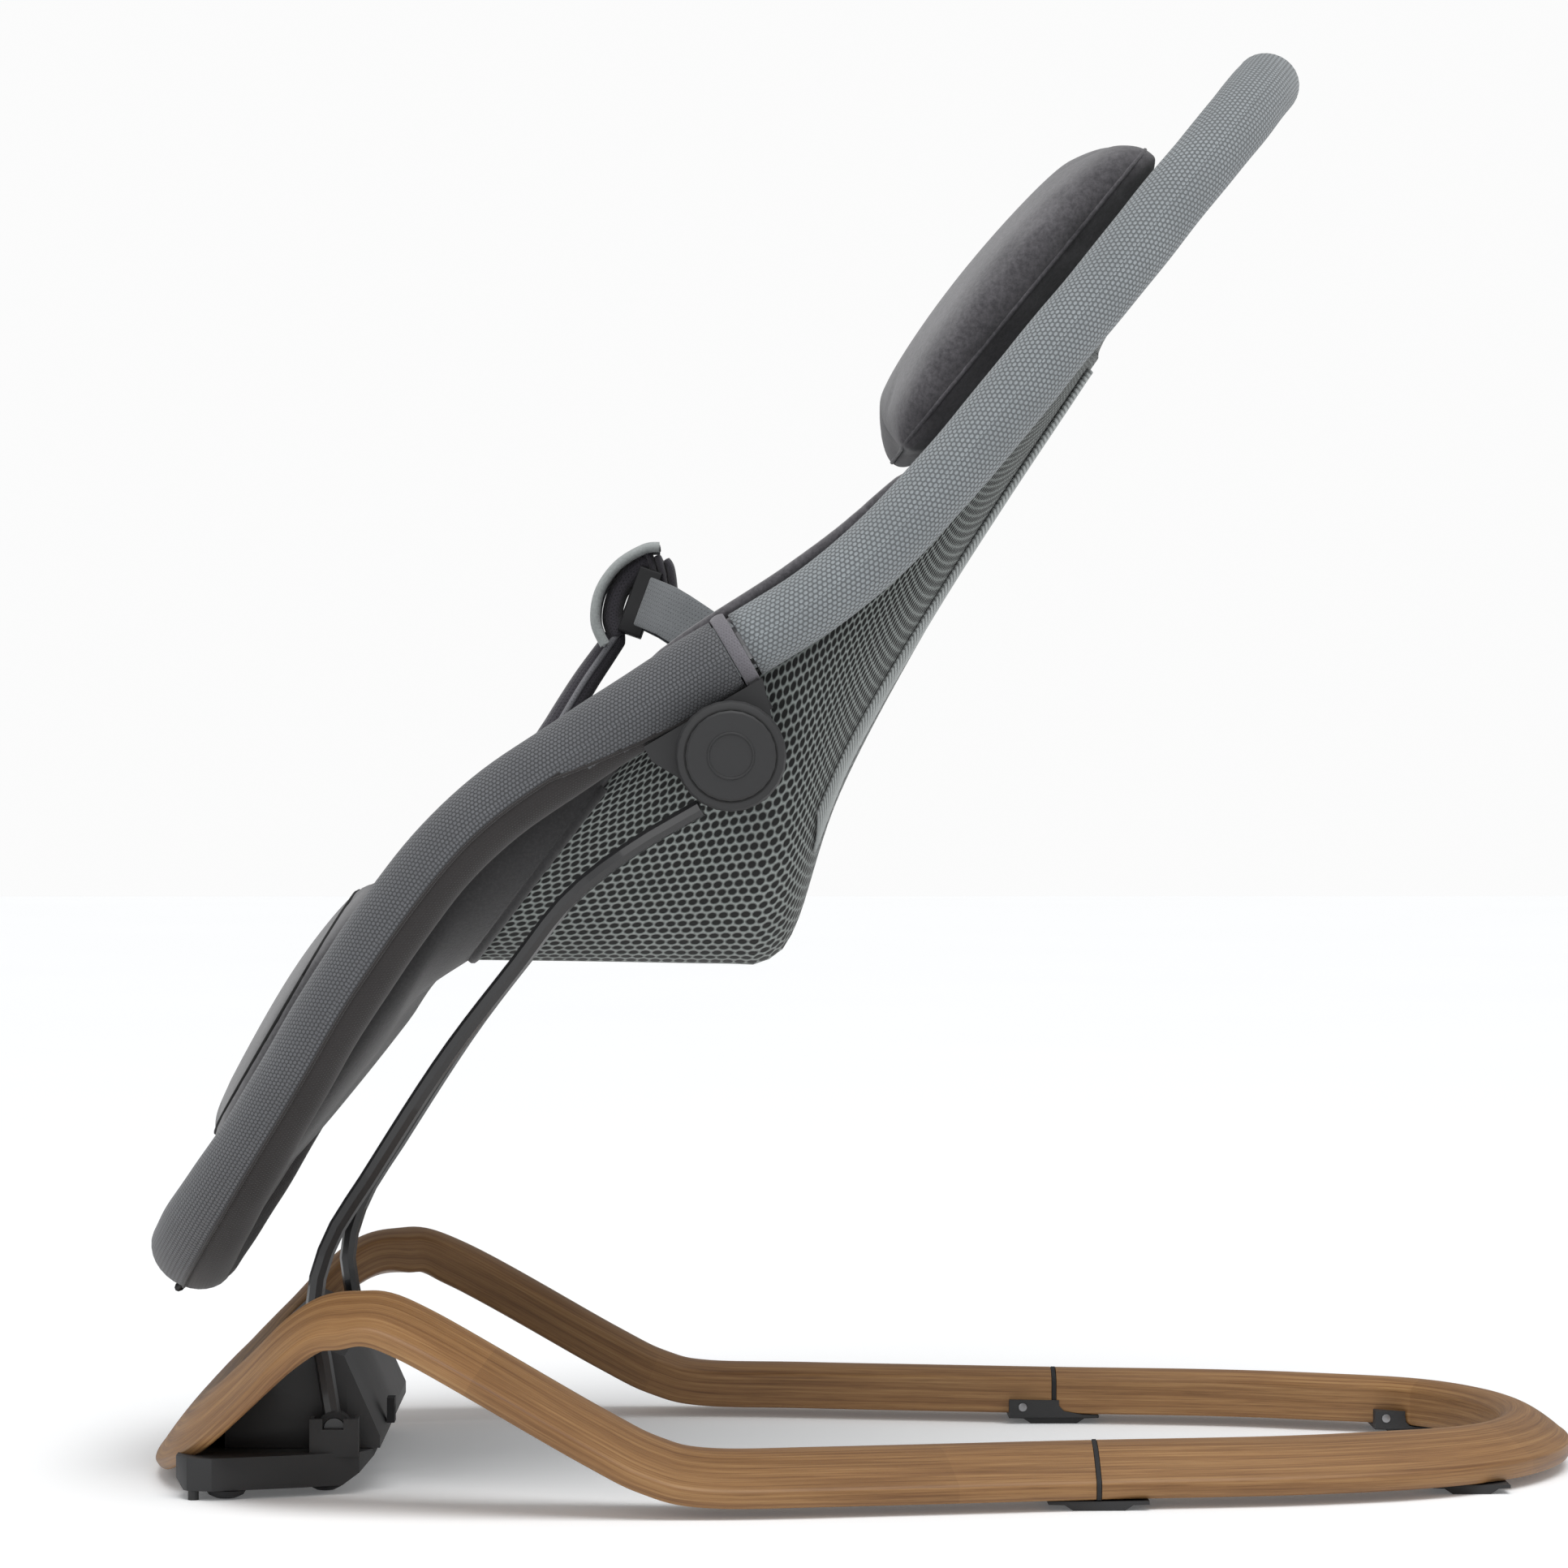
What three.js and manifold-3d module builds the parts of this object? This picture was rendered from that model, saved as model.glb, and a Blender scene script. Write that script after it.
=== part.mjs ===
// Bouncer seat: a wooden floor loop, a drive housing, two sprung rods and a reclining padded seat.
// Millimetres, +Z up. X runs across the seat, -Y is the foot end and +Y the head end.
// The origin is on the floor, under the middle of the outline.

import * as THREE from 'three';
import { mergeVertices } from 'three/addons/utils/BufferGeometryUtils.js';
import Module from 'manifold-3d';

const wasm = await Module();
wasm.setup();

// ---------- driving dimensions ----------

const GAP = 0.3; // between pieces that rest on each other
const REACH = 400; // longer than any piece that a cutting block passes through

// Floor loop: a flat board ring, bent up into a hump at the front.
const LOOP_HALF_WIDTH = 224; // middle of the rail, where the loop is widest
const LOOP_FRONT = -321; // middle of the rail at the front end
const LOOP_REAR = 335; // middle of the rail at the rear end
const LOOP_WIDEST = -62;
const JOINT_Y = 106;
const RAIL_WIDTH = 55;
const RAIL_REAR_WIDTH = 35;
const RAIL_INNER = 19.5; // height of the inner edge
const RAIL_CROWN = 22.5; // height of the crown, which lies towards the inner edge
const RAIL_OUTER = 9; // height of the outer edge
const RAIL_ROUND = 4;
const RAIL_LIFT = 5; // underside above the floor
const HUMP_HEIGHT = 77; // underside of the hump
const HUMP_Y = -240;
const BAND_THICK = 2;

// Feet under the loop.
const MID_FOOT = { length: 47, flat: 24, width: RAIL_WIDTH - 3 };
const REAR_FOOT = { y: 287, length: 37, flat: 18, width: 46 };
const FOOT_LIP = { thick: 3, top: 12.5 }; // upstand against the inner edge of the rail

// Drive housing.
const ROCKER_Y = -253;
const ROCKER_Z = 31;
const ROD_HALF_SPACING = 139.5;
const ROD_RADIUS = 4.2;
const SHAFT_RADIUS = 5;
const SOCKET = { radius: 8.2, width: 10 };
const TRAY = { front: -327, back: -231, bottom: 4.5, deck: 20, wall: 3 };
const SHELL = { wall: 3, back: -232, ridgeFront: -268, ridgeBack: -249, backHeight: 64 };
const PANEL = { width: 150, height: 28, thick: 2.4 };
const BUTTON = { radius: 6, thick: 3.2, spacing: 38, travel: 1.5 };
const SLOPE_SINK = 13; // from the underside of the wood to the face of the shell
const DOOR = { front: -288, back: -262, half: 66 };
const MAGNET = { y: LOOP_FRONT + RAIL_WIDTH / 2 + 6.5, radius: 11, height: 6 };
const BUSH_HALF = 6.2; // half length of the block that carries the rocker shaft
const DOME = { frontRadius: 9.5, rearRadius: 8.5, height: 4.2 };

// Hub and seat frame.
const SEAT_HALF_WIDTH = 196; // middle of the frame tube
const TUBE_RADIUS = 10;
const HUB = { y: -65, z: 350.5, radius: 25.8, inner: SEAT_HALF_WIDTH + TUBE_RADIUS + 0.5, thick: 21.5 };
const HUB_BUTTON = { radius: 21, thick: 4.5, travel: 3, stand: 1.5 };
const PIN_RADIUS = 5;
const SEAT_ROUNDNESS = 2.5; // 2 is an ellipse, more is squarer
const SLEEVE = { across: TUBE_RADIUS + 5.5, deep: TUBE_RADIUS + 6.2, bore: TUBE_RADIUS + 2 * GAP };
const LOWER_SLEEVE_DEEP = TUBE_RADIUS + 7.6;
const JOINT_GAP = 8; // between the ends of the two frame tubes
const TAPE = { width: 5, proud: 0.8 };
const BRACKET = { thick: 16, reach: 22 };

// Soft goods.
const BUCKET_WALL = 4;
const BUCKET_INSET = TUBE_RADIUS - 1; // from the middle of the tube to the top of the mesh wall
const BUCKET_TAPER = 0.82; // width of the floor as a share of the mouth
const HANG = 1; // from the cover to what hangs under it
const BUCKLE = { y: HUB.y - 44, z: HUB.z + 76, width: 46, height: 34, thick: 12, lean: 0.34 };
const STRAP = { width: 25, thick: 3, anchor: SEAT_HALF_WIDTH - 68 };
const LEG_PAD_INSET = 92; // from the middle of the frame tube to the side of the pad
const PILLOW_INSET = 84;

// ---------- materials ----------

function finish(color, roughness, metalness = 0) {
  return new THREE.MeshStandardMaterial({ color, roughness, metalness });
}

const wood = finish(0x8f6440, 0.5);
const anthracite = finish(0x3a3a3b, 0.6);
const blackRubber = finish(0x1c1c1d, 0.85);
const rodBlack = finish(0x2a2a2b, 0.35, 0.6);
const steel = finish(0x9a9a9c, 0.3, 1);
const copper = finish(0xb06a3a, 0.4, 1);
const circuit = finish(0x1d5a38, 0.6);
const lightKnit = finish(0x8b9497, 0.95);
const darkKnit = finish(0x606365, 0.95);
const tapeKnit = finish(0x77757b, 0.9);
const meshKnit = finish(0x737a77, 0.9);
const felt = finish(0x39393a, 1);
const charcoal = finish(0x4c4a50, 1);
const padGrey = finish(0x6b6a6f, 1);
const webbing = finish(0x3b3940, 0.9);
const strapGrey = finish(0x63686c, 0.9);
const coverGrey = finish(0xa4a6a8, 0.8);

// ---------- solids ----------

const group = new THREE.Group();

// Merges shared corners and turns the faces outwards.
function closed(geometry) {
  const shape = geometry.clone();
  shape.deleteAttribute('normal');
  shape.deleteAttribute('uv');
  const merged = mergeVertices(shape, 1e-4);
  const corners = merged.attributes.position;
  const faces = merged.index.array;
  let volume = 0;
  const [a, b, c] = [new THREE.Vector3(), new THREE.Vector3(), new THREE.Vector3()];
  for (let i = 0; i < faces.length; i += 3) {
    a.fromBufferAttribute(corners, faces[i]);
    b.fromBufferAttribute(corners, faces[i + 1]);
    c.fromBufferAttribute(corners, faces[i + 2]);
    volume += a.dot(b.cross(c));
  }
  if (volume < 0) {
    for (let i = 0; i < faces.length; i += 3) {
      [faces[i], faces[i + 1]] = [faces[i + 1], faces[i]];
    }
  }
  return merged;
}

function solid(geometry) {
  const shape = closed(geometry);
  const vertProperties = new Float32Array(shape.attributes.position.array);
  const triVerts = new Uint32Array(shape.index.array);
  return new wasm.Manifold(new wasm.Mesh({ numProp: 3, vertProperties, triVerts }));
}

function geometryOf(shape) {
  const cut = shape.getMesh();
  const geometry = new THREE.BufferGeometry();
  geometry.setAttribute('position', new THREE.BufferAttribute(new Float32Array(cut.vertProperties), 3));
  geometry.setIndex(new THREE.BufferAttribute(new Uint32Array(cut.triVerts), 1));
  return geometry;
}

function add(name, shape, material) {
  const geometry = shape.isBufferGeometry ? closed(shape) : geometryOf(shape);
  geometry.computeVertexNormals();
  const mesh = new THREE.Mesh(geometry, material);
  mesh.name = name;
  group.add(mesh);
  return mesh;
}

// Adds a right-hand (+X) piece and its mirror image.
function addPair(name, geometry, material) {
  const right = geometry.isBufferGeometry ? closed(geometry) : geometryOf(geometry);
  add(`${name}_right`, right.clone(), material);
  add(`${name}_left`, right.clone().scale(-1, 1, 1), material);
}

function block(x0, x1, y0, y1, z0, z1) {
  const box = new THREE.BoxGeometry(x1 - x0, y1 - y0, z1 - z0);
  return box.translate((x0 + x1) / 2, (y0 + y1) / 2, (z0 + z1) / 2);
}

// A cylinder along X from x0 to x1.
function bar(radius, x0, x1, y, z, sides = 16) {
  const cylinder = new THREE.CylinderGeometry(radius, radius, x1 - x0, sides);
  return cylinder.rotateZ(Math.PI / 2).translate((x0 + x1) / 2, y, z);
}

// A cylinder along Z from z0 to z1.
function post(radius, z0, z1, x, y, sides = 16) {
  const cylinder = new THREE.CylinderGeometry(radius, radius, z1 - z0, sides);
  return cylinder.rotateX(Math.PI / 2).translate(x, y, (z0 + z1) / 2);
}

// A body turned about the X axis through (y, z), from [radius, x] pairs.
function turned(pairs, y, z, sides = 32) {
  const points = pairs.map(([radius, x]) => new THREE.Vector2(radius, x));
  const body = new THREE.LatheGeometry(points, sides);
  return body.rotateZ(-Math.PI / 2).translate(0, y, z);
}

function outline(points) {
  return new THREE.Shape(points.map(([x, y]) => new THREE.Vector2(x, y)));
}

// A side view in Y and Z, given width across X.
function acrossX(points, halfWidth) {
  const options = { depth: 2 * halfWidth, bevelEnabled: false };
  const plate = new THREE.ExtrudeGeometry(outline(points), options);
  plate.translate(0, 0, -halfWidth);
  const turn = new THREE.Matrix4().makeBasis(
    new THREE.Vector3(0, 1, 0),
    new THREE.Vector3(0, 0, 1),
    new THREE.Vector3(1, 0, 0),
  );
  return plate.applyMatrix4(turn);
}

function ellipse(across, deep, sides) {
  const points = [];
  for (let i = 0; i < sides; i += 1) {
    const angle = (i / sides) * 2 * Math.PI;
    points.push(new THREE.Vector2(across * Math.cos(angle), deep * Math.sin(angle)));
  }
  return points;
}

function ringSection(across, deep, bore, sides = 12) {
  const section = new THREE.Shape(ellipse(across, deep, sides));
  section.holes.push(new THREE.Path(ellipse(bore, bore, 8)));
  return section;
}

// ---------- bent surfaces ----------

// A surface that is straight across X and follows a side profile from the head end to the foot end.
class BentSurface {
  constructor(points) {
    this.profile = new THREE.SplineCurve(points.map(([y, z]) => new THREE.Vector2(y, z)));
    this.profile.arcLengthDivisions = 600;
    this.length = this.profile.getLength();
  }

  // Distance along the profile at which it passes the given y.
  along(y) {
    let low = 0;
    let high = 1;
    for (let i = 0; i < 40; i += 1) {
      const middle = (low + high) / 2;
      if (this.profile.getPointAt(middle).x > y) low = middle;
      else high = middle;
    }
    return low * this.length;
  }

  frame(across, along) {
    const share = THREE.MathUtils.clamp(along / this.length, 0, 1);
    const spot = this.profile.getPointAt(share);
    const slope = this.profile.getTangentAt(share);
    return {
      point: new THREE.Vector3(across, spot.x, spot.y),
      down: new THREE.Vector3(0, slope.x, slope.y),
      up: new THREE.Vector3(0, slope.y, -slope.x),
    };
  }
}

// Part of a closed curve, from one share of it to another.
class RingPart extends THREE.Curve {
  constructor(ring, start, end) {
    super();
    this.ring = ring;
    this.start = start;
    this.end = end;
    this.arcLengthDivisions = 400;
  }

  getPoint(t) {
    const share = THREE.MathUtils.lerp(this.start, this.end, t);
    return this.ring.getPoint(((share % 1) + 1) % 1);
  }
}

// Sweeps a section along a curve that is drawn on a bent surface. The section's x points out of the
// ring and its y points up from the surface. The scale lets the section grow or shrink on the way.
function sweepOn(surface, curve, section, steps, scale = () => ({ across: 1, deep: 1 })) {
  const options = { depth: 1, steps, bevelEnabled: false, curveSegments: 3 };
  const body = new THREE.ExtrudeGeometry(section, options);
  const corners = body.attributes.position;
  const frames = [];
  for (let i = 0; i <= steps; i += 1) {
    const spot = curve.getPointAt(i / steps);
    const heading = curve.getTangentAt(i / steps);
    const frame = surface.frame(spot.x, spot.y);
    const run = frame.down.clone().multiplyScalar(heading.y);
    run.x += heading.x;
    frame.out = new THREE.Vector3().crossVectors(run, frame.up).normalize();
    frame.size = scale(frame.point.y);
    frames.push(frame);
  }
  for (let i = 0; i < corners.count; i += 1) {
    const frame = frames[Math.round(corners.getZ(i) * steps)];
    const place = frame.point.clone();
    place.addScaledVector(frame.out, corners.getX(i) * frame.size.across);
    place.addScaledVector(frame.up, corners.getY(i) * frame.size.deep);
    corners.setXYZ(i, place.x, place.y, place.z);
  }
  return body;
}

// ---------- floor loop ----------

const board = new BentSurface([
  [LOOP_REAR + 40, RAIL_LIFT],
  [200, RAIL_LIFT],
  [80, RAIL_LIFT],
  [-20, RAIL_LIFT],
  [-78, RAIL_LIFT + 0.6],
  [-106, RAIL_LIFT + 7],
  [-136, RAIL_LIFT + 22],
  [HUMP_Y + 26, HUMP_HEIGHT - 6],
  [HUMP_Y, HUMP_HEIGHT],
  [HUMP_Y - 24, HUMP_HEIGHT - 9],
  [HUMP_Y - 68, HUMP_HEIGHT - 49],
  [LOOP_FRONT - 9, RAIL_LIFT + 8],
  [LOOP_FRONT - 36, RAIL_LIFT + 3],
]);

// Middle line of the rail, seen from above, right-hand side, from the joint round the rear.
function loopRing() {
  const w = LOOP_HALF_WIDTH;
  const rear = [
    [w * 0.848, JOINT_Y],
    [w * 0.777, LOOP_REAR - 139],
    [w * 0.69, LOOP_REAR - 88],
    [w * 0.55, LOOP_REAR - 41],
    [w * 0.32, LOOP_REAR - 12],
  ];
  const front = [
    [w * 0.93, 20],
    [w, LOOP_WIDEST],
    [w, LOOP_WIDEST - 70],
    [w * 0.975, LOOP_FRONT + 113],
    [w * 0.9, LOOP_FRONT + 68],
    [w * 0.75, LOOP_FRONT + 36],
    [w * 0.6, LOOP_FRONT + 17],
    [w * 0.36, LOOP_FRONT + 4],
  ];
  const mirror = (points) => points.map(([x, y]) => [-x, y]).reverse();
  const around = [
    ...rear,
    [0, LOOP_REAR],
    ...mirror(rear),
    ...mirror(front).reverse(),
    [0, LOOP_FRONT],
    ...[...front].reverse(),
  ];
  const points = around.map(([x, y]) => new THREE.Vector3(x, board.along(y), 0));
  const ring = new THREE.CatmullRomCurve3(points, true);
  return { ring, leftJoint: (2 * rear.length) / around.length };
}

function railSection(grow) {
  const half = RAIL_WIDTH / 2 + grow;
  const round = RAIL_ROUND + grow;
  const inner = RAIL_INNER + grow;
  const outer = RAIL_OUTER + grow;
  const pull = 2 * (RAIL_CROWN + grow) - (inner + outer) / 2;
  const section = new THREE.Shape();
  section.moveTo(-half + round, -grow);
  section.lineTo(half - round, -grow);
  section.quadraticCurveTo(half, -grow, half, round);
  section.lineTo(half, outer - round / 2);
  section.quadraticCurveTo(half, outer, half - round, outer + round / 3);
  section.quadraticCurveTo(-half * 0.5, pull, -half + round / 2, inner);
  section.quadraticCurveTo(-half, inner - round / 3, -half, inner - round);
  section.lineTo(-half, round);
  section.quadraticCurveTo(-half, -grow, -half + round, -grow);
  return section;
}

// The board is thinner on the front slope and narrower round the rear end.
function boardScale(y) {
  const onSlope = THREE.MathUtils.smoothstep(HUMP_Y - y, 0, 50);
  const atRear = THREE.MathUtils.smoothstep(y, LOOP_REAR - 95, LOOP_REAR - 15);
  return {
    across: THREE.MathUtils.lerp(1, RAIL_REAR_WIDTH / RAIL_WIDTH, atRear),
    deep: 1 - 0.24 * onSlope,
  };
}

const loop = loopRing();
const OVERLAP = 0.02; // how far each rail is drawn past the joint before it is cut square

function rail(start, end, steps, grow = 0) {
  const curve = new RingPart(loop.ring, start, end);
  return solid(sweepOn(board, curve, railSection(grow), steps, boardScale));
}

const cutY = BAND_THICK / 2 + GAP;
const rearRail = rail(-OVERLAP, loop.leftJoint + OVERLAP, 26)
  .subtract(solid(block(-REACH, REACH, JOINT_Y - REACH, JOINT_Y + cutY, -REACH, REACH)));
const frontRail = rail(loop.leftJoint - OVERLAP, 1 + OVERLAP, 44)
  .subtract(solid(block(-REACH, REACH, JOINT_Y - cutY, JOINT_Y + REACH, -REACH, REACH)));
const railRoom = rail(loop.leftJoint - OVERLAP, 1 + OVERLAP, 44, 0.6);

const footRoom = rail(-OVERLAP, loop.leftJoint + OVERLAP, 26, 2 * GAP)
  .add(rail(1 - 2 * OVERLAP, 1 + OVERLAP, 4, 2 * GAP));

function jointBand() {
  const stub = rail(-OVERLAP, OVERLAP, 4, 0.4);
  const slab = block(0, REACH, JOINT_Y - BAND_THICK / 2, JOINT_Y + BAND_THICK / 2, -REACH, REACH);
  return stub.intersect(solid(slab));
}

// A low bracket with sloping ends, standing on the floor under the rail.
function footPad(length, flat, width) {
  const top = RAIL_LIFT - 0.6;
  const profile = outline([
    [-flat / 2, 0],
    [flat / 2, 0],
    [flat / 2 + 4, top - 1.8],
    [length / 2, top - 1.6],
    [length / 2, top],
    [-length / 2, top],
    [-length / 2, top - 1.6],
    [-flat / 2 - 4, top - 1.8],
  ]);
  const pad = new THREE.ExtrudeGeometry(profile, { depth: width, bevelEnabled: false });
  return pad.translate(0, 0, -width / 2).rotateX(Math.PI / 2);
}

// Middle of the right-hand rail at a place along the rear length.
function railMiddle(y) {
  let share = 0;
  let spot = loop.ring.getPoint(share);
  while (board.frame(0, spot.y).point.y < y) {
    share += 0.001;
    spot = loop.ring.getPoint(share);
  }
  return spot.x;
}

function foot({ length, flat, width }, y) {
  const middle = railMiddle(y);
  const inner = middle - width / 2 - FOOT_LIP.thick;
  const pad = footPad(length, flat, width).rotateZ(Math.PI / 2).translate(middle, y, 0);
  const lip = block(inner, middle, y - length / 2, y + length / 2, RAIL_LIFT - 1.6, FOOT_LIP.top);
  return solid(pad).add(solid(lip)).subtract(footRoom);
}

add('front_rail', frontRail, wood);
add('rear_rail', rearRail, wood);
addPair('joint_band', jointBand(), blackRubber);
addPair('mid_foot', foot(MID_FOOT, JOINT_Y), anthracite);
addPair('rear_foot', foot(REAR_FOOT, REAR_FOOT.y), anthracite);

// ---------- drive housing ----------

const SHELL_HALF = ROD_HALF_SPACING - ROD_RADIUS - 4.8;
const TAB_INNER = ROD_HALF_SPACING + SOCKET.width / 2 + 1.5;
const TAB_OUTER = TAB_INNER + 3.5;
const POCKET_INNER = ROD_HALF_SPACING - SOCKET.width / 2 - 1.5;
const POCKET_HALF = SOCKET.radius + 1.4;

function trayPlan() {
  const wide = TAB_OUTER + 24;
  const right = [
    [wide - 16, TRAY.front],
    [wide - 4, TRAY.front + 6],
    [wide, TRAY.front + 18],
    [TAB_OUTER + 8, ROCKER_Y - 14],
    [TAB_OUTER, ROCKER_Y],
    [TAB_OUTER - 3, ROCKER_Y + 12],
    [SHELL_HALF - 2, TRAY.back - 4],
    [SHELL_HALF - 8, TRAY.back],
  ];
  const left = right.map(([x, y]) => [-x, y]).reverse();
  return outline([...right, ...left]);
}

function traySide() {
  return acrossX([
    [TRAY.front, TRAY.bottom + 5],
    [TRAY.front + 4, TRAY.bottom],
    [ROCKER_Y + 4, TRAY.bottom],
    [TRAY.back - 10, TRAY.bottom + 5.8],
    [TRAY.back - 4, TRAY.bottom + 12],
    [TRAY.back, TRAY.bottom + 20],
    [TRAY.back, REACH],
    [TRAY.front, REACH],
  ], REACH);
}

function trayTab() {
  const front = ROCKER_Y - POCKET_HALF - 2;
  const back = ROCKER_Y + POCKET_HALF + 2;
  return solid(block(POCKET_INNER - 0.8, TAB_OUTER, front, back, TRAY.deck - 2, ROCKER_Z + 5))
    .subtract(solid(block(0, TAB_OUTER + 1, ROCKER_Y - 5.4, ROCKER_Y + 4.6, ROCKER_Z, REACH)))
    .subtract(solid(block(0, POCKET_INNER + 1, front - 1, back + 1, TRAY.deck + GAP, REACH)));
}

function tray() {
  const plate = new THREE.ExtrudeGeometry(trayPlan(), { depth: TRAY.deck, bevelEnabled: false });
  const cavityHalf = SHELL_HALF - SHELL.wall - 1;
  const floor = TRAY.bottom + TRAY.wall;
  const pocket = block(
    POCKET_INNER, TAB_INNER, ROCKER_Y - POCKET_HALF, ROCKER_Y + POCKET_HALF, TRAY.deck - 4, REACH,
  );
  const pegX = TAB_OUTER + 18;
  const pegY = TRAY.front + 9;
  const tab = trayTab();
  return solid(plate)
    .intersect(solid(traySide()))
    .subtract(solid(block(-cavityHalf, cavityHalf, TRAY.front + 24, ROCKER_Y + BUSH_HALF + GAP, floor, REACH)))
    .add(tab)
    .add(tab.mirror([1, 0, 0]))
    .subtract(solid(pocket))
    .subtract(solid(pocket).mirror([1, 0, 0]))
    .subtract(solid(block(-TAB_INNER, TAB_INNER, ROCKER_Y - 6, ROCKER_Y + 6, ROCKER_Z - 7, REACH)))
    .subtract(solid(block(-DOOR.half, DOOR.half, DOOR.front - GAP, DOOR.back + GAP, 0, floor + 1)))
    .subtract(railRoom)
    .add(solid(post(2.6, 0, TRAY.bottom + 2, pegX, pegY, 10)))
    .add(solid(post(2.6, 0, TRAY.bottom + 2, -pegX, pegY, 10)));
}

function batteryDoor() {
  const half = DOOR.half - GAP;
  return block(-half, half, DOOR.front, DOOR.back, TRAY.bottom, TRAY.bottom + TRAY.wall - GAP);
}

// Top of the shell: a line that stays just under the wood on the front slope.
const slopeTop = board.frame(0, board.along(SHELL.ridgeFront));
const slopeFoot = board.frame(0, board.along(LOOP_FRONT + RAIL_WIDTH / 2 - 3.5));

function shellProfile(inset) {
  const foot = slopeFoot.point.clone().addScaledVector(slopeFoot.up, SLOPE_SINK - inset);
  const top = slopeTop.point.clone().addScaledVector(slopeTop.up, SLOPE_SINK - inset);
  const bottom = TRAY.deck + GAP - (inset > 0 ? REACH : 0);
  return [
    [foot.y + inset, bottom],
    [foot.y + inset, foot.z],
    [top.y + inset * 0.4, top.z],
    [SHELL.ridgeBack - inset, SHELL.backHeight - inset],
    [SHELL.back - inset, TRAY.deck + 6],
    [SHELL.back - inset, bottom],
  ];
}

// Middle of the control panel on the shell's slope, with the slope's own directions.
function panelFrame() {
  const profile = shellProfile(0);
  const foot = new THREE.Vector3(0, ...profile[1]);
  const top = new THREE.Vector3(0, ...profile[2]);
  const rise = top.clone().sub(foot).normalize();
  const out = new THREE.Vector3(0, -rise.z, rise.y);
  const middle = foot.clone().addScaledVector(rise, foot.distanceTo(top) * 0.5);
  return { middle, rise, out };
}

// Moves a piece drawn flat (x across, y up the slope, z out of it) onto the slope.
function onSlope(geometry, across, up, out) {
  const { middle, rise, out: normal } = panelFrame();
  const turn = new THREE.Matrix4().makeBasis(new THREE.Vector3(1, 0, 0), rise, normal);
  turn.setPosition(middle);
  return geometry.translate(across, up, out).applyMatrix4(turn);
}

function panelPlate(grow, thick) {
  const plate = new THREE.BoxGeometry(PANEL.width + 2 * grow, PANEL.height + 2 * grow, thick);
  return plate;
}

function upperShell() {
  const shaftSlot = block(-REACH, REACH, ROCKER_Y - 6, ROCKER_Y + 6, -REACH, ROCKER_Z);
  return solid(acrossX(shellProfile(0), SHELL_HALF))
    .subtract(solid(acrossX(shellProfile(SHELL.wall), SHELL_HALF - SHELL.wall)))
    .subtract(solid(onSlope(panelPlate(GAP, 20), 0, 0, 0)))
    .subtract(solid(shaftSlot))
    .subtract(solid(bar(6, -REACH, REACH, ROCKER_Y, ROCKER_Z)))
    .subtract(railRoom);
}

const buttonPlaces = [-BUTTON.spacing, 0, BUTTON.spacing];

function controlPanel() {
  let panel = solid(onSlope(panelPlate(0, PANEL.thick), 0, 0, -PANEL.thick / 2));
  for (const across of buttonPlaces) {
    const hole = new THREE.CylinderGeometry(BUTTON.radius + GAP, BUTTON.radius + GAP, 20, 16);
    panel = panel.subtract(solid(onSlope(hole.rotateX(Math.PI / 2), across, 0, 0)));
  }
  return panel;
}

function panelButton(across) {
  const cap = new THREE.CylinderGeometry(BUTTON.radius - 0.6, BUTTON.radius, BUTTON.thick, 16);
  const out = -PANEL.thick + BUTTON.thick / 2 + 0.6;
  return onSlope(cap.rotateX(Math.PI / 2), across, 0, out);
}

function circuitBoard() {
  return onSlope(new THREE.BoxGeometry(PANEL.width - 30, PANEL.height - 6, 1.6), 0, 0, -10);
}

function dome(radius, x, y) {
  const points = [new THREE.Vector2(0, 0)];
  const steps = 3;
  for (let i = 1; i <= steps; i += 1) {
    const angle = (i / steps) * (Math.PI / 2);
    points.push(new THREE.Vector2(radius * Math.sin(angle), DOME.height * (1 - Math.cos(angle))));
  }
  points.push(new THREE.Vector2(0, DOME.height));
  return new THREE.LatheGeometry(points, 12).rotateX(Math.PI / 2).translate(x, y, 0);
}

function returnSpring() {
  const turns = 4;
  const [start, end] = [34, 66];
  const points = [];
  for (let i = 0; i <= turns * 8; i += 1) {
    const angle = (i / 8) * 2 * Math.PI;
    const x = start + ((end - start) * i) / (turns * 8);
    points.push(new THREE.Vector3(x, ROCKER_Y + 7.6 * Math.cos(angle), ROCKER_Z + 7.6 * Math.sin(angle)));
  }
  const path = new THREE.CatmullRomCurve3(points);
  const wire = new THREE.Shape(ellipse(0.9, 0.9, 5));
  return new THREE.ExtrudeGeometry(wire, { steps: turns * 8, extrudePath: path, bevelEnabled: false });
}

function shaftBush() {
  const x = SHELL_HALF - SHELL.wall - 14;
  const floor = TRAY.bottom + TRAY.wall + GAP;
  return solid(block(x - 6, x + 6, ROCKER_Y - BUSH_HALF, ROCKER_Y + BUSH_HALF, floor, ROCKER_Z + 9))
    .subtract(solid(bar(SHAFT_RADIUS + GAP, x - 10, x + 10, ROCKER_Y, ROCKER_Z)));
}

function driveLever() {
  const tip = MAGNET.y - MAGNET.radius;
  return solid(bar(9, -12, 12, ROCKER_Y, ROCKER_Z))
    .add(solid(block(-8, 8, tip, ROCKER_Y, ROCKER_Z - 4, ROCKER_Z + 3)))
    .subtract(solid(bar(SHAFT_RADIUS + GAP, -20, 20, ROCKER_Y, ROCKER_Z)));
}

function driveMagnet() {
  const top = ROCKER_Z - 4 - GAP;
  return post(MAGNET.radius, top - MAGNET.height, top, 0, MAGNET.y);
}

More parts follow.
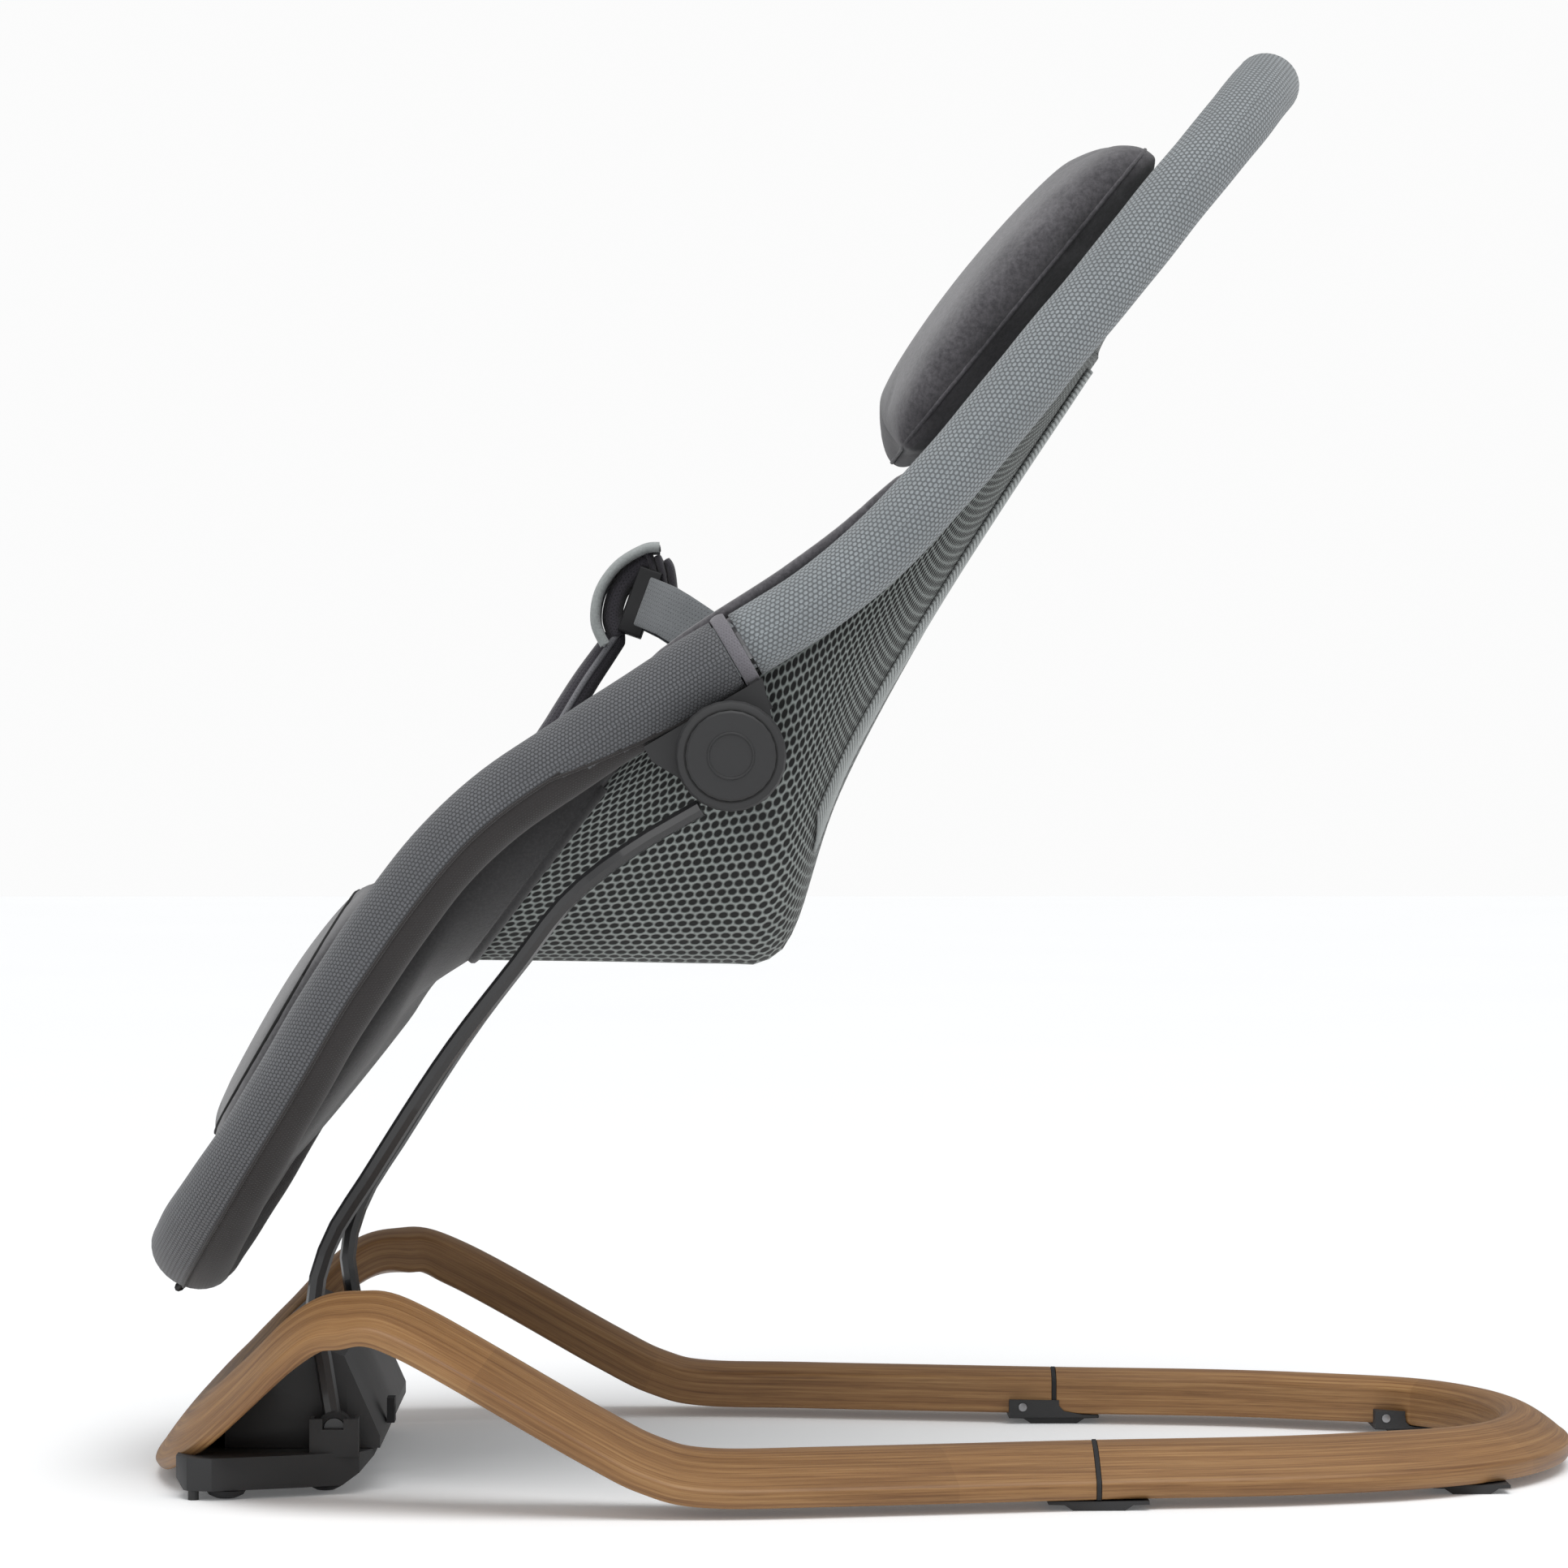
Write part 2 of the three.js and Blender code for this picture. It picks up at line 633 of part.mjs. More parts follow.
function driveCoil() {
  const bottom = TRAY.bottom + TRAY.wall + GAP;
  const top = bottom + 7;
  const points = [[5, bottom], [14, bottom], [14, top], [5, top], [5, bottom]];
  const ring = new THREE.LatheGeometry(points.map(([r, z]) => new THREE.Vector2(r, z)), 16);
  return ring.rotateX(Math.PI / 2).translate(0, MAGNET.y, 0);
}

function powerInlet() {
  const socket = post(3, 0, 10, 0, 0, 16).rotateX(Math.PI / 2).translate(65, SHELL.back + 8, 32);
  return solid(block(58, 72, SHELL.back + GAP, SHELL.back + 4, 26, 38)).subtract(solid(socket));
}

function rodSocket() {
  const half = SOCKET.width / 2;
  return solid(bar(SOCKET.radius, ROD_HALF_SPACING - half, ROD_HALF_SPACING + half, ROCKER_Y, ROCKER_Z))
    .subtract(solid(bar(SHAFT_RADIUS + GAP, 0, REACH, ROCKER_Y, ROCKER_Z)))
    .subtract(solid(rodTube(ROD_RADIUS + 2 * GAP)));
}

// ---------- rods ----------

const ROD_TOP_X = HUB.inner + 8.5;

// Right-hand rod: out of the rocker, up past the hump, then a long slope and a bend into the hub.
function rodPath() {
  const spread = ROD_TOP_X - ROD_HALF_SPACING;
  const points = [
    [0, ROCKER_Y - 1.2, ROCKER_Z + SHAFT_RADIUS + 1.2],
    [0, ROCKER_Y - 6, ROCKER_Z + 36],
    [0, ROCKER_Y - 9.6, ROCKER_Z + 61],
    [spread * 0.03, ROCKER_Y - 2, ROCKER_Z + 89],
    [spread * 0.1, ROCKER_Y + 17, ROCKER_Z + 120],
    [spread * 0.33, HUB.y - 133, HUB.z - 141],
    [spread * 0.55, HUB.y - 100, HUB.z - 98],
    [spread * 0.8, HUB.y - 74, HUB.z - 65],
    [spread * 0.93, HUB.y - 46, HUB.z - 43],
    [spread, HUB.y - 14, HUB.z - 24],
  ];
  return new THREE.CatmullRomCurve3(
    points.map(([x, y, z]) => new THREE.Vector3(ROD_HALF_SPACING + x, y, z)),
  );
}

function rodTube(radius, sides = 8) {
  const section = new THREE.Shape(ellipse(radius, radius, sides));
  return new THREE.ExtrudeGeometry(section, { steps: 28, extrudePath: rodPath(), bevelEnabled: false });
}

add('tray', tray(), anthracite);
add('battery_door', batteryDoor(), anthracite);
add('upper_shell', upperShell(), anthracite);
add('control_panel', controlPanel(), blackRubber);
add('button_speed', panelButton(buttonPlaces[0]), coverGrey);
add('button_power', panelButton(buttonPlaces[1]), coverGrey);
add('button_timer', panelButton(buttonPlaces[2]), coverGrey);
add('circuit_board', circuitBoard(), circuit);
addPair('front_dome_foot', dome(DOME.frontRadius, TAB_OUTER + 13, TRAY.front + 24), blackRubber);
addPair('back_dome_foot', dome(DOME.rearRadius, SHELL_HALF, ROCKER_Y - 5), blackRubber);
add('power_inlet', powerInlet(), blackRubber);
add('rocker_shaft', bar(SHAFT_RADIUS, -TAB_INNER + 1, TAB_INNER - 1, ROCKER_Y, ROCKER_Z), steel);
addPair('shaft_bush', shaftBush(), anthracite);
add('drive_lever', driveLever(), steel);
add('drive_magnet', driveMagnet(), steel);
add('drive_coil', driveCoil(), copper);
add('return_spring', returnSpring(), steel);
addPair('rod_socket', rodSocket(), blackRubber);
addPair('rod', rodTube(ROD_RADIUS), rodBlack);

// ---------- seat frame ----------

// Side profile of the seat frame tube, from the head end to the foot end.
const seatSurface = new BentSurface([
  [HUB.y + 266, HUB.z + 332],
  [HUB.y + 212, HUB.z + 266],
  [HUB.y + 165, HUB.z + 208],
  [HUB.y + 88, HUB.z + 116],
  [HUB.y + 40, HUB.z + 73],
  [HUB.y - 19, HUB.z + 36.5],
  [HUB.y - 66, HUB.z + 6],
  [HUB.y - 125, HUB.z - 37],
  [HUB.y - 176, HUB.z - 103],
  [HUB.y - 215, HUB.z - 167],
  [HUB.y - 266, HUB.z - 247],
]);

// The tube seen flat on: a squared oval as long as the profile.
class Oval extends THREE.Curve {
  getPoint(t) {
    const angle = t * 2 * Math.PI;
    const soften = (value) => Math.sign(value) * Math.abs(value) ** (2 / SEAT_ROUNDNESS);
    const half = seatSurface.length / 2;
    return new THREE.Vector2(
      SEAT_HALF_WIDTH * soften(Math.cos(angle)),
      half - half * soften(Math.sin(angle)),
    );
  }
}

const oval = new Oval();
const junction = seatSurface.along(HUB.y + 2);

// Share of the oval at which its right-hand side passes a distance along the profile.
function ovalShare(along) {
  let low = -0.25;
  let high = 0.25;
  for (let i = 0; i < 40; i += 1) {
    const middle = (low + high) / 2;
    if (oval.getPoint(middle).y > along) low = middle;
    else high = middle;
  }
  return low;
}

// Half width of the oval at a distance along the profile.
function halfWidthAt(along) {
  return oval.getPoint(ovalShare(along)).x;
}

function upperRing(section, setback, steps) {
  const start = ovalShare(junction - setback);
  return sweepOn(seatSurface, new RingPart(oval, start, 0.5 - start), section, steps);
}

// The lower cover grows deeper towards the foot end.
function lowerScale(y) {
  const atFoot = THREE.MathUtils.smoothstep(HUB.y - y, 215, 262);
  return { across: 1, deep: 1 + 0.2 * atFoot };
}

function lowerRing(section, setback, steps) {
  const start = ovalShare(junction + setback);
  return sweepOn(seatSurface, new RingPart(oval, 0.5 - start, 1 + start), section, steps, lowerScale);
}

const tubeSection = new THREE.Shape(ellipse(TUBE_RADIUS, TUBE_RADIUS, 8));
const upperSleeve = ringSection(SLEEVE.across, SLEEVE.deep, SLEEVE.bore);
const lowerSleeve = ringSection(SLEEVE.across, LOWER_SLEEVE_DEEP, SLEEVE.bore);

add('upper_tube', upperRing(tubeSection, JOINT_GAP / 2, 28), steel);
add('lower_tube', lowerRing(tubeSection, JOINT_GAP / 2, 28), steel);
add('upper_cover', upperRing(upperSleeve, TAPE.width / 2 + GAP, 28), lightKnit);
add('lower_cover', lowerRing(lowerSleeve, TAPE.width / 2 + GAP, 28), darkKnit);

// ---------- hubs ----------

// Neck of the bracket, which stands between the ends of the two tubes.
function neck(grow) {
  const { point, down, up } = seatSurface.frame(halfWidthAt(junction), junction);
  const plate = new THREE.BoxGeometry(2 * TUBE_RADIUS - 4 + 2 * grow, JOINT_GAP - 4 + 2 * grow, 40 + 2 * grow);
  const turn = new THREE.Matrix4().makeBasis(new THREE.Vector3(-1, 0, 0), down, up);
  turn.setPosition(point.clone().addScaledVector(up, -20 + TUBE_RADIUS - 2));
  return solid(plate.applyMatrix4(turn));
}

function junctionTape() {
  const across = SLEEVE.across + TAPE.proud;
  const deep = LOWER_SLEEVE_DEEP + TAPE.proud;
  const middle = ovalShare(junction);
  const reach = ovalShare(junction - TAPE.width / 2) - middle;
  const part = new RingPart(oval, middle - reach, middle + reach);
  return solid(sweepOn(seatSurface, part, ringSection(across, deep, SLEEVE.bore), 2)).subtract(neck(GAP));
}

// Plate from the hub pin up to the underside of the covers.
function hubBracket() {
  const inner = HUB.inner - GAP - BRACKET.thick;
  const outer = HUB.inner - GAP;
  const { down, up } = seatSurface.frame(0, junction);
  const hub = new THREE.Vector3(0, HUB.y, HUB.z);
  const top = 24;
  const room = TAPE.proud + GAP;
  const corner = (along, height) => {
    const spot = hub.clone().addScaledVector(down, along).addScaledVector(up, height);
    return [spot.y, spot.z];
  };
  const plate = acrossX([
    corner(-20, -8),
    corner(20, -8),
    corner(33, top - 8),
    corner(33, top),
    corner(-31, top),
    corner(-27, top - 14),
  ], 1);
  const wide = solid(plate.scale(BRACKET.thick / 2, 1, 1).translate((inner + outer) / 2, 0, 0));
  return wide
    .add(solid(bar(BRACKET.reach, inner, outer, HUB.y, HUB.z, 24)))
    .subtract(solid(upperRing(new THREE.Shape(ellipse(SLEEVE.across + room, SLEEVE.deep + room, 16)), 0, 28)))
    .subtract(solid(lowerRing(
      new THREE.Shape(ellipse(SLEEVE.across + room, LOWER_SLEEVE_DEEP + room, 16)), -6, 28)))
    .add(neck(0))
    .subtract(solid(bar(PIN_RADIUS + GAP, 0, REACH, HUB.y, HUB.z)));
}

function hubHousing() {
  const { radius, inner, thick } = HUB;
  const outer = inner + thick;
  const floor = outer - HUB_BUTTON.thick + HUB_BUTTON.stand - HUB_BUTTON.travel - 2 * GAP;
  const recess = HUB_BUTTON.radius + GAP;
  const pairs = [
    [0, inner],
    [radius - 1.5, inner],
    [radius, inner + 1.5],
    [radius, outer - 3],
    [radius - 1, outer - 1],
    [radius - 3, outer],
    [recess, outer],
    [recess, floor],
    [0, floor],
  ];
  return solid(turned(pairs, HUB.y, HUB.z, 24))
    .subtract(solid(rodTube(ROD_RADIUS + 2 * GAP)))
    .subtract(solid(bar(PIN_RADIUS + GAP, 0, inner + 9, HUB.y, HUB.z)));
}

function hubButton() {
  const outer = HUB.inner + HUB.thick + HUB_BUTTON.stand;
  const inner = outer - HUB_BUTTON.thick;
  const r = HUB_BUTTON.radius;
  return turned([[0, inner], [r, inner], [r, outer - 1], [r - 1, outer], [0, outer]], HUB.y, HUB.z, 24);
}

addPair('junction_tape', junctionTape(), tapeKnit);
addPair('hub_bracket', hubBracket(), anthracite);
addPair('hub_housing', hubHousing(), anthracite);
addPair('hub_button', hubButton(), anthracite);
addPair('hub_pin', bar(PIN_RADIUS, HUB.inner - BRACKET.thick, HUB.inner + 8, HUB.y, HUB.z), steel);

// ---------- soft goods ----------

// Line of the mesh floor and of the calf panel, seen from the side.
const bucketLine = new THREE.SplineCurve([
  [HUB.y + 176, HUB.z + 190],
  [HUB.y + 127, HUB.z + 116],
  [HUB.y + 85, HUB.z + 47],
  [HUB.y + 50, HUB.z - 21],
  [HUB.y + 30, HUB.z - 82],
  [HUB.y + 16, HUB.z - 98],
  [HUB.y - 4, HUB.z - 99],
  [HUB.y - 60, HUB.z - 98],
  [HUB.y - 123, HUB.z - 97],
].map(([y, z]) => new THREE.Vector2(y, z)));

const calfLine = new THREE.SplineCurve([
  [HUB.y - 126, HUB.z - 97],
  [HUB.y - 150, HUB.z - 114],
  [HUB.y - 167, HUB.z - 138],
  [HUB.y - 200, HUB.z - 196],
  [HUB.y - 231, HUB.z - 248],
].map(([y, z]) => new THREE.Vector2(y, z)));

const MARK = 0.1; // share of the drawn section that stands for one wall

function troughSection() {
  return outline([
    [-1, 1], [-1, 0.22], [-0.97, 0.08], [-0.9, 0], [0.9, 0], [0.97, 0.08], [1, 0.22], [1, 1],
    [1 - MARK, 1], [1 - MARK, 0.26], [0.84, MARK], [-0.84, MARK], [-1 + MARK, 0.26], [-1 + MARK, 1],
  ]);
}

// Keeps walls at their thickness while the rest of the section stretches.
function stretch(share, size, wall) {
  if (share <= MARK) return (share / MARK) * wall;
  return wall + ((share - MARK) / (1 - MARK)) * (size - wall);
}

// A trough that hangs from the tube between two places along it, down to a floor line.
function trough(fromAlong, toAlong, floorLine, steps, section = troughSection()) {
  const body = new THREE.ExtrudeGeometry(section, { depth: 1, steps, bevelEnabled: false });
  const corners = body.attributes.position;
  for (let i = 0; i < corners.count; i += 1) {
    const share = corners.getZ(i);
    const along = THREE.MathUtils.lerp(fromAlong, toAlong, share);
    const { point, up } = seatSurface.frame(0, along);
    const mouth = point.clone().addScaledVector(up, -LOWER_SLEEVE_DEEP * lowerScale(point.y).deep - HANG);
    const spot = floorLine.getPointAt(share);
    const floor = new THREE.Vector3(0, spot.x, spot.y);
    const depth = mouth.distanceTo(floor);
    const rise = mouth.clone().sub(floor).normalize();
    const height = stretch(corners.getY(i), depth, BUCKET_WALL);
    const taper = THREE.MathUtils.lerp(BUCKET_TAPER, 1, height / depth);
    const half = (halfWidthAt(along) - BUCKET_INSET) * taper;
    const out = half - stretch(1 - Math.abs(corners.getX(i)), half, BUCKET_WALL);
    floor.addScaledVector(rise, height);
    corners.setXYZ(i, Math.sign(corners.getX(i)) * out, floor.y, floor.z);
  }
  return body;
}

const bucketTop = seatSurface.along(HUB.y + 158);
const bucketFront = seatSurface.along(HUB.y - 62);
const calfFoot = seatSurface.length - 26;

// A pad that follows the profile: across, along and thick, with its middle above the tube line.
function profilePad(halfWidth, fromY, toY, low, high, steps, crown = 0.25) {
  const side = halfWidth;
  const section = outline([
    [-side, 0.3], [-side + 6, 0], [side - 6, 0], [side, 0.3], [side, 1 - crown],
    [side * 0.85, 1 - crown * 0.4], [side * 0.5, 1], [-side * 0.5, 1], [-side * 0.85, 1 - crown * 0.4],
    [-side, 1 - crown],
  ]);
  const pad = new THREE.ExtrudeGeometry(section, { depth: 1, steps, bevelEnabled: false });
  const corners = pad.attributes.position;
  const from = seatSurface.along(fromY);
  const to = seatSurface.along(toY);
  for (let i = 0; i < corners.count; i += 1) {
    const share = corners.getZ(i);
    const swell = Math.sin(Math.PI * share) ** 0.35;
    const { point, up } = seatSurface.frame(0, THREE.MathUtils.lerp(from, to, share));
    const height = low + (high - low) * corners.getY(i) * (0.45 + 0.55 * swell);
    point.addScaledVector(up, height);
    corners.setXYZ(i, corners.getX(i) * (0.85 + 0.15 * swell), point.y, point.z);
  }
  return pad;
}

// A strap along a path through the given points, flat across the path.
function strap(points, width, thick, across) {
  const path = new THREE.CatmullRomCurve3(points.map((point) => new THREE.Vector3(...point)));
  const steps = 12;
  const section = outline([
    [-width / 2, -thick / 2], [width / 2, -thick / 2], [width / 2, thick / 2], [-width / 2, thick / 2],
  ]);
  const band = new THREE.ExtrudeGeometry(section, { depth: 1, steps, bevelEnabled: false });
  const corners = band.attributes.position;
  for (let i = 0; i < corners.count; i += 1) {
    const share = corners.getZ(i);
    const spot = path.getPointAt(share);
    const face = new THREE.Vector3().crossVectors(path.getTangentAt(share), across).normalize();
    spot.addScaledVector(across, corners.getX(i)).addScaledVector(face, corners.getY(i));
    corners.setXYZ(i, spot.x, spot.y, spot.z);
  }
  return band;
}

const X_AXIS = new THREE.Vector3(1, 0, 0);

// Moves a piece drawn about the buckle's middle to where the buckle is.
function atBuckle(geometry) {
  return geometry.rotateX(-BUCKLE.lean).translate(0, BUCKLE.y, BUCKLE.z);
}

function buckle() {
  const { width, height, thick } = BUCKLE;
  const body = new THREE.BoxGeometry(width, thick, height);
  const recess = block(-8 - GAP, 8 + GAP, -thick, -thick / 2 + 4, -10 - GAP, 10 + GAP);
  return solid(atBuckle(body)).subtract(solid(atBuckle(recess)));
}

function buckleButton() {
  const front = -BUCKLE.thick / 2;
  return atBuckle(block(-8, 8, front - 0.6, front + 2, -10, 10));
}

// Curved plate in front of the buckle and over its top.
function buckleCover() {
  const points = [];
  const inner = [];
  for (let i = 0; i <= 8; i += 1) {
    const angle = Math.PI * (0.98 - 0.5 * (i / 8));
    points.push([20 + 44 * Math.cos(angle), -20 + 52 * Math.sin(angle)]);
    inner.push([20 + 41 * Math.cos(angle), -20 + 49 * Math.sin(angle)]);
  }
  return atBuckle(acrossX([...points, ...inner.reverse()], BUCKLE.width / 2 + 4));
}

function crotchStrap() {
  const floorZ = HUB.z - 98 + BUCKET_WALL + 16;
  const foot = BUCKLE.height / 2 + 2;
  return strap([
    [0, HUB.y - 84, floorZ],
    [0, HUB.y - 92, HUB.z - 20],
    [0, HUB.y - 74, HUB.z + 30],
    [0, BUCKLE.y - foot * Math.sin(BUCKLE.lean), BUCKLE.z - foot * Math.cos(BUCKLE.lean)],
  ], STRAP.width, STRAP.thick, X_AXIS);
}

function waistStrap() {
  const side = BUCKLE.width / 2 + 1;
  return strap([
    [side, BUCKLE.y + 2, BUCKLE.z],
    [side + 30, BUCKLE.y + 18, BUCKLE.z - 8],
    [STRAP.anchor - 18, HUB.y + 20, HUB.z + 30],
    [STRAP.anchor, HUB.y + 34, HUB.z],
  ], STRAP.width, STRAP.thick, new THREE.Vector3(0, 0.35, 0.94));
}

// The liner: a thin trough inside the mesh, with its side edges turned up past the tube.
function seatPad() {
  const from = bucketTop + 6;
  const to = bucketFront - 4;
  const section = troughSection();
  const pad = new THREE.ExtrudeGeometry(section, { depth: 1, steps: 16, bevelEnabled: false });
  const corners = pad.attributes.position;
  const [wall, clear] = [5, BUCKET_WALL + 3];
  for (let i = 0; i < corners.count; i += 1) {
    const share = corners.getZ(i);
    const along = THREE.MathUtils.lerp(from, to, share);
    const { point, up } = seatSurface.frame(0, along);
    const mouth = point.clone().addScaledVector(up, SLEEVE.deep + 4);
    const spot = bucketLine.getPointAt(0.03 + 0.94 * share);
    const floor = new THREE.Vector3(0, spot.x, spot.y);
    const rise = mouth.clone().sub(floor).normalize();
    floor.addScaledVector(rise, clear + 2);
    const depth = mouth.distanceTo(floor);
    const height = stretch(corners.getY(i), depth, wall);
    const taper = THREE.MathUtils.lerp(BUCKET_TAPER - 0.04, 0.98, height / depth);
    const half = (halfWidthAt(along) - SLEEVE.across - 4) * taper;
    const out = half - stretch(1 - Math.abs(corners.getX(i)), half, wall);
    floor.addScaledVector(rise, height);
    corners.setXYZ(i, Math.sign(corners.getX(i)) * out, floor.y, floor.z);
  }
  return pad;
}

const INNER_INSET = SLEEVE.across + HANG + 4;

// Half width of the space inside the covers at a distance along the profile.
function innerHalfWidth(along) {
  const half = seatSurface.length / 2 - INNER_INSET;
  const share = Math.abs(half - (along - INNER_INSET)) / half;
  const width = (1 - share ** SEAT_ROUNDNESS) ** (1 / SEAT_ROUNDNESS);
  return (SEAT_HALF_WIDTH - INNER_INSET) * width;
}

// Flat sheet across the upper frame, from the top of the mesh to the head end.
function headPanel() {
  const steps = 10;
  const end = INNER_INSET + 4;
  const sheet = new THREE.BoxGeometry(2, BUCKET_WALL, 1, 2, 1, steps);
  const corners = sheet.attributes.position;
  for (let i = 0; i < corners.count; i += 1) {
    const along = THREE.MathUtils.lerp(end, bucketTop - 1, (corners.getZ(i) + 0.5) ** 1.5);
    const { point, up } = seatSurface.frame(0, along);
    point.addScaledVector(up, corners.getY(i) - TUBE_RADIUS / 2);
    corners.setXYZ(i, corners.getX(i) * innerHalfWidth(along), point.y, point.z);
  }
  return sheet;
}

add('head_panel', headPanel(), meshKnit);
add('mesh_bucket', trough(bucketTop, bucketFront, bucketLine, 20), meshKnit);
add('calf_panel', trough(bucketFront + 3, calfFoot, calfLine, 12), felt);
add('seat_pad', seatPad(), padGrey);
add('leg_pad', profilePad(SEAT_HALF_WIDTH - LEG_PAD_INSET, HUB.y - 150, HUB.y - 240, 4, 27, 10), padGrey);
add('headrest_pillow', profilePad(SEAT_HALF_WIDTH - PILLOW_INSET, HUB.y + 224, HUB.y + 100, 14, 52, 12), charcoal);
add('crotch_strap', crotchStrap(), webbing);
add('buckle', buckle(), blackRubber);
add('buckle_button', buckleButton(), coverGrey);
add('buckle_cover', buckleCover(), coverGrey);
addPair('waist_strap', waistStrap(), strapGrey);

// Stands the object over the middle of its outline.
const middle = new THREE.Box3().setFromObject(group).getCenter(new THREE.Vector3());
for (const mesh of group.children) {
  mesh.geometry.translate(0, -middle.y, 0);
}

export default group;
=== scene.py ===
# %% [markdown]
# # A baby bouncer with a wooden floor loop
#
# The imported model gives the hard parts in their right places. This lesson gives them their
# finishes and sews the soft parts: the knit sleeves, the mesh seat, the pads and the harness.
# Everything is in metres, +Z up, with the foot end towards -Y and the head end towards +Y.

# %% Load the frame
import math
import bpy
import bmesh
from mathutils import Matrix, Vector


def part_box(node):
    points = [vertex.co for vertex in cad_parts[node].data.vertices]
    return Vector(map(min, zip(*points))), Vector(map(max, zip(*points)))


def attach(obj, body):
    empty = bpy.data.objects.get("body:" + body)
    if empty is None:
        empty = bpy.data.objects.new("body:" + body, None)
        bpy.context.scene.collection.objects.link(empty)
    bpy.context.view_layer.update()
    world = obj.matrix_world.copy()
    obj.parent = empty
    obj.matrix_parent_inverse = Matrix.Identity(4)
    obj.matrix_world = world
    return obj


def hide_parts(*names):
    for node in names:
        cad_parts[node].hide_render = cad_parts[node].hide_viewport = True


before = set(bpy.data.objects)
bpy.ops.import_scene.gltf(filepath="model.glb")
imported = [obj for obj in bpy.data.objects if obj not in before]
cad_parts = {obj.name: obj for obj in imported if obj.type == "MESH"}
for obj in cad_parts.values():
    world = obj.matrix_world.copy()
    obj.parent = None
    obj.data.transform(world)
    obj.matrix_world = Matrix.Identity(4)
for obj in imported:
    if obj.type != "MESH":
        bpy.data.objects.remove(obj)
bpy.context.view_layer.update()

# %% [markdown]
# ## Camera, light and floor
#
# The object is seen straight from its right-hand side, from about three metres away with a long
# lens, so its far side almost hides behind its near side. The light is a wide, soft overhead
# lamp with two weaker soft boxes, one from the foot end and one from behind, on a pale floor.

# %% Camera
hub_low, hub_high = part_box("hub_housing_right")
HUB = (hub_low + hub_high) / 2

camera_data = bpy.data.cameras.new("camera")
camera_data.lens = 144.8
camera_data.sensor_width = 36
camera = bpy.data.objects.new("camera", camera_data)
camera.location = (3.14, HUB.y - 0.0122, HUB.z + 0.0032)
target = Vector((0, HUB.y + 0.0274, HUB.z - 0.0142))
camera.rotation_euler = (target - camera.location).to_track_quat("-Z", "Y").to_euler()
bpy.context.scene.collection.objects.link(camera)
bpy.context.scene.camera = camera
print("camera looks from", tuple(round(v, 3) for v in camera.location))


# %% Lights
def soft_box(name, place, aim, power, size):
    data = bpy.data.lights.new(name, "AREA")
    data.energy = power
    data.shape = "SQUARE"
    data.size = size
    lamp = bpy.data.objects.new(name, data)
    lamp.location = place
    lamp.rotation_euler = (Vector(aim) - Vector(place)).to_track_quat("-Z", "Y").to_euler()
    bpy.context.scene.collection.objects.link(lamp)
    return lamp


soft_box("side_fill", (3.0, -1.6, 1.5), (0, 0, 0.3), 20, 1.8)
soft_box("head_fill", (1.2, 2.6, 1.4), (0, 0, 0.4), 9, 1.6)
sky_data = bpy.data.lights.new("overhead", "SUN")
sky_data.energy = 2.1
sky_data.angle = math.radians(50)
sky = bpy.data.objects.new("overhead", sky_data)
sky.rotation_euler = (math.radians(-6), math.radians(16), 0)
bpy.context.scene.collection.objects.link(sky)
world = bpy.data.worlds.new("studio")
world.use_nodes = True
nodes, links = world.node_tree.nodes, world.node_tree.links
soft = nodes["Background"]
soft.inputs["Color"].default_value = (0.95, 0.96, 0.97, 1)
soft.inputs["Strength"].default_value = 0.40
bright = nodes.new("ShaderNodeBackground")
bright.inputs["Color"].default_value = (0.97, 0.97, 0.97, 1)
seen = nodes.new("ShaderNodeLightPath")
choose = nodes.new("ShaderNodeMixShader")
links.new(seen.outputs["Is Camera Ray"], choose.inputs["Fac"])
links.new(soft.outputs["Background"], choose.inputs[1])
links.new(bright.outputs["Background"], choose.inputs[2])
links.new(choose.outputs["Shader"], nodes["World Output"].inputs["Surface"])
bpy.context.scene.world = world
bpy.context.scene.view_settings.view_transform = "Standard"

# %% [markdown]
# ## Finishes
#
# Every finish is a small node tree. A helper starts each one, and a few more add what cloth and
# moulded plastic need: a colour that varies from place to place, and a bump.


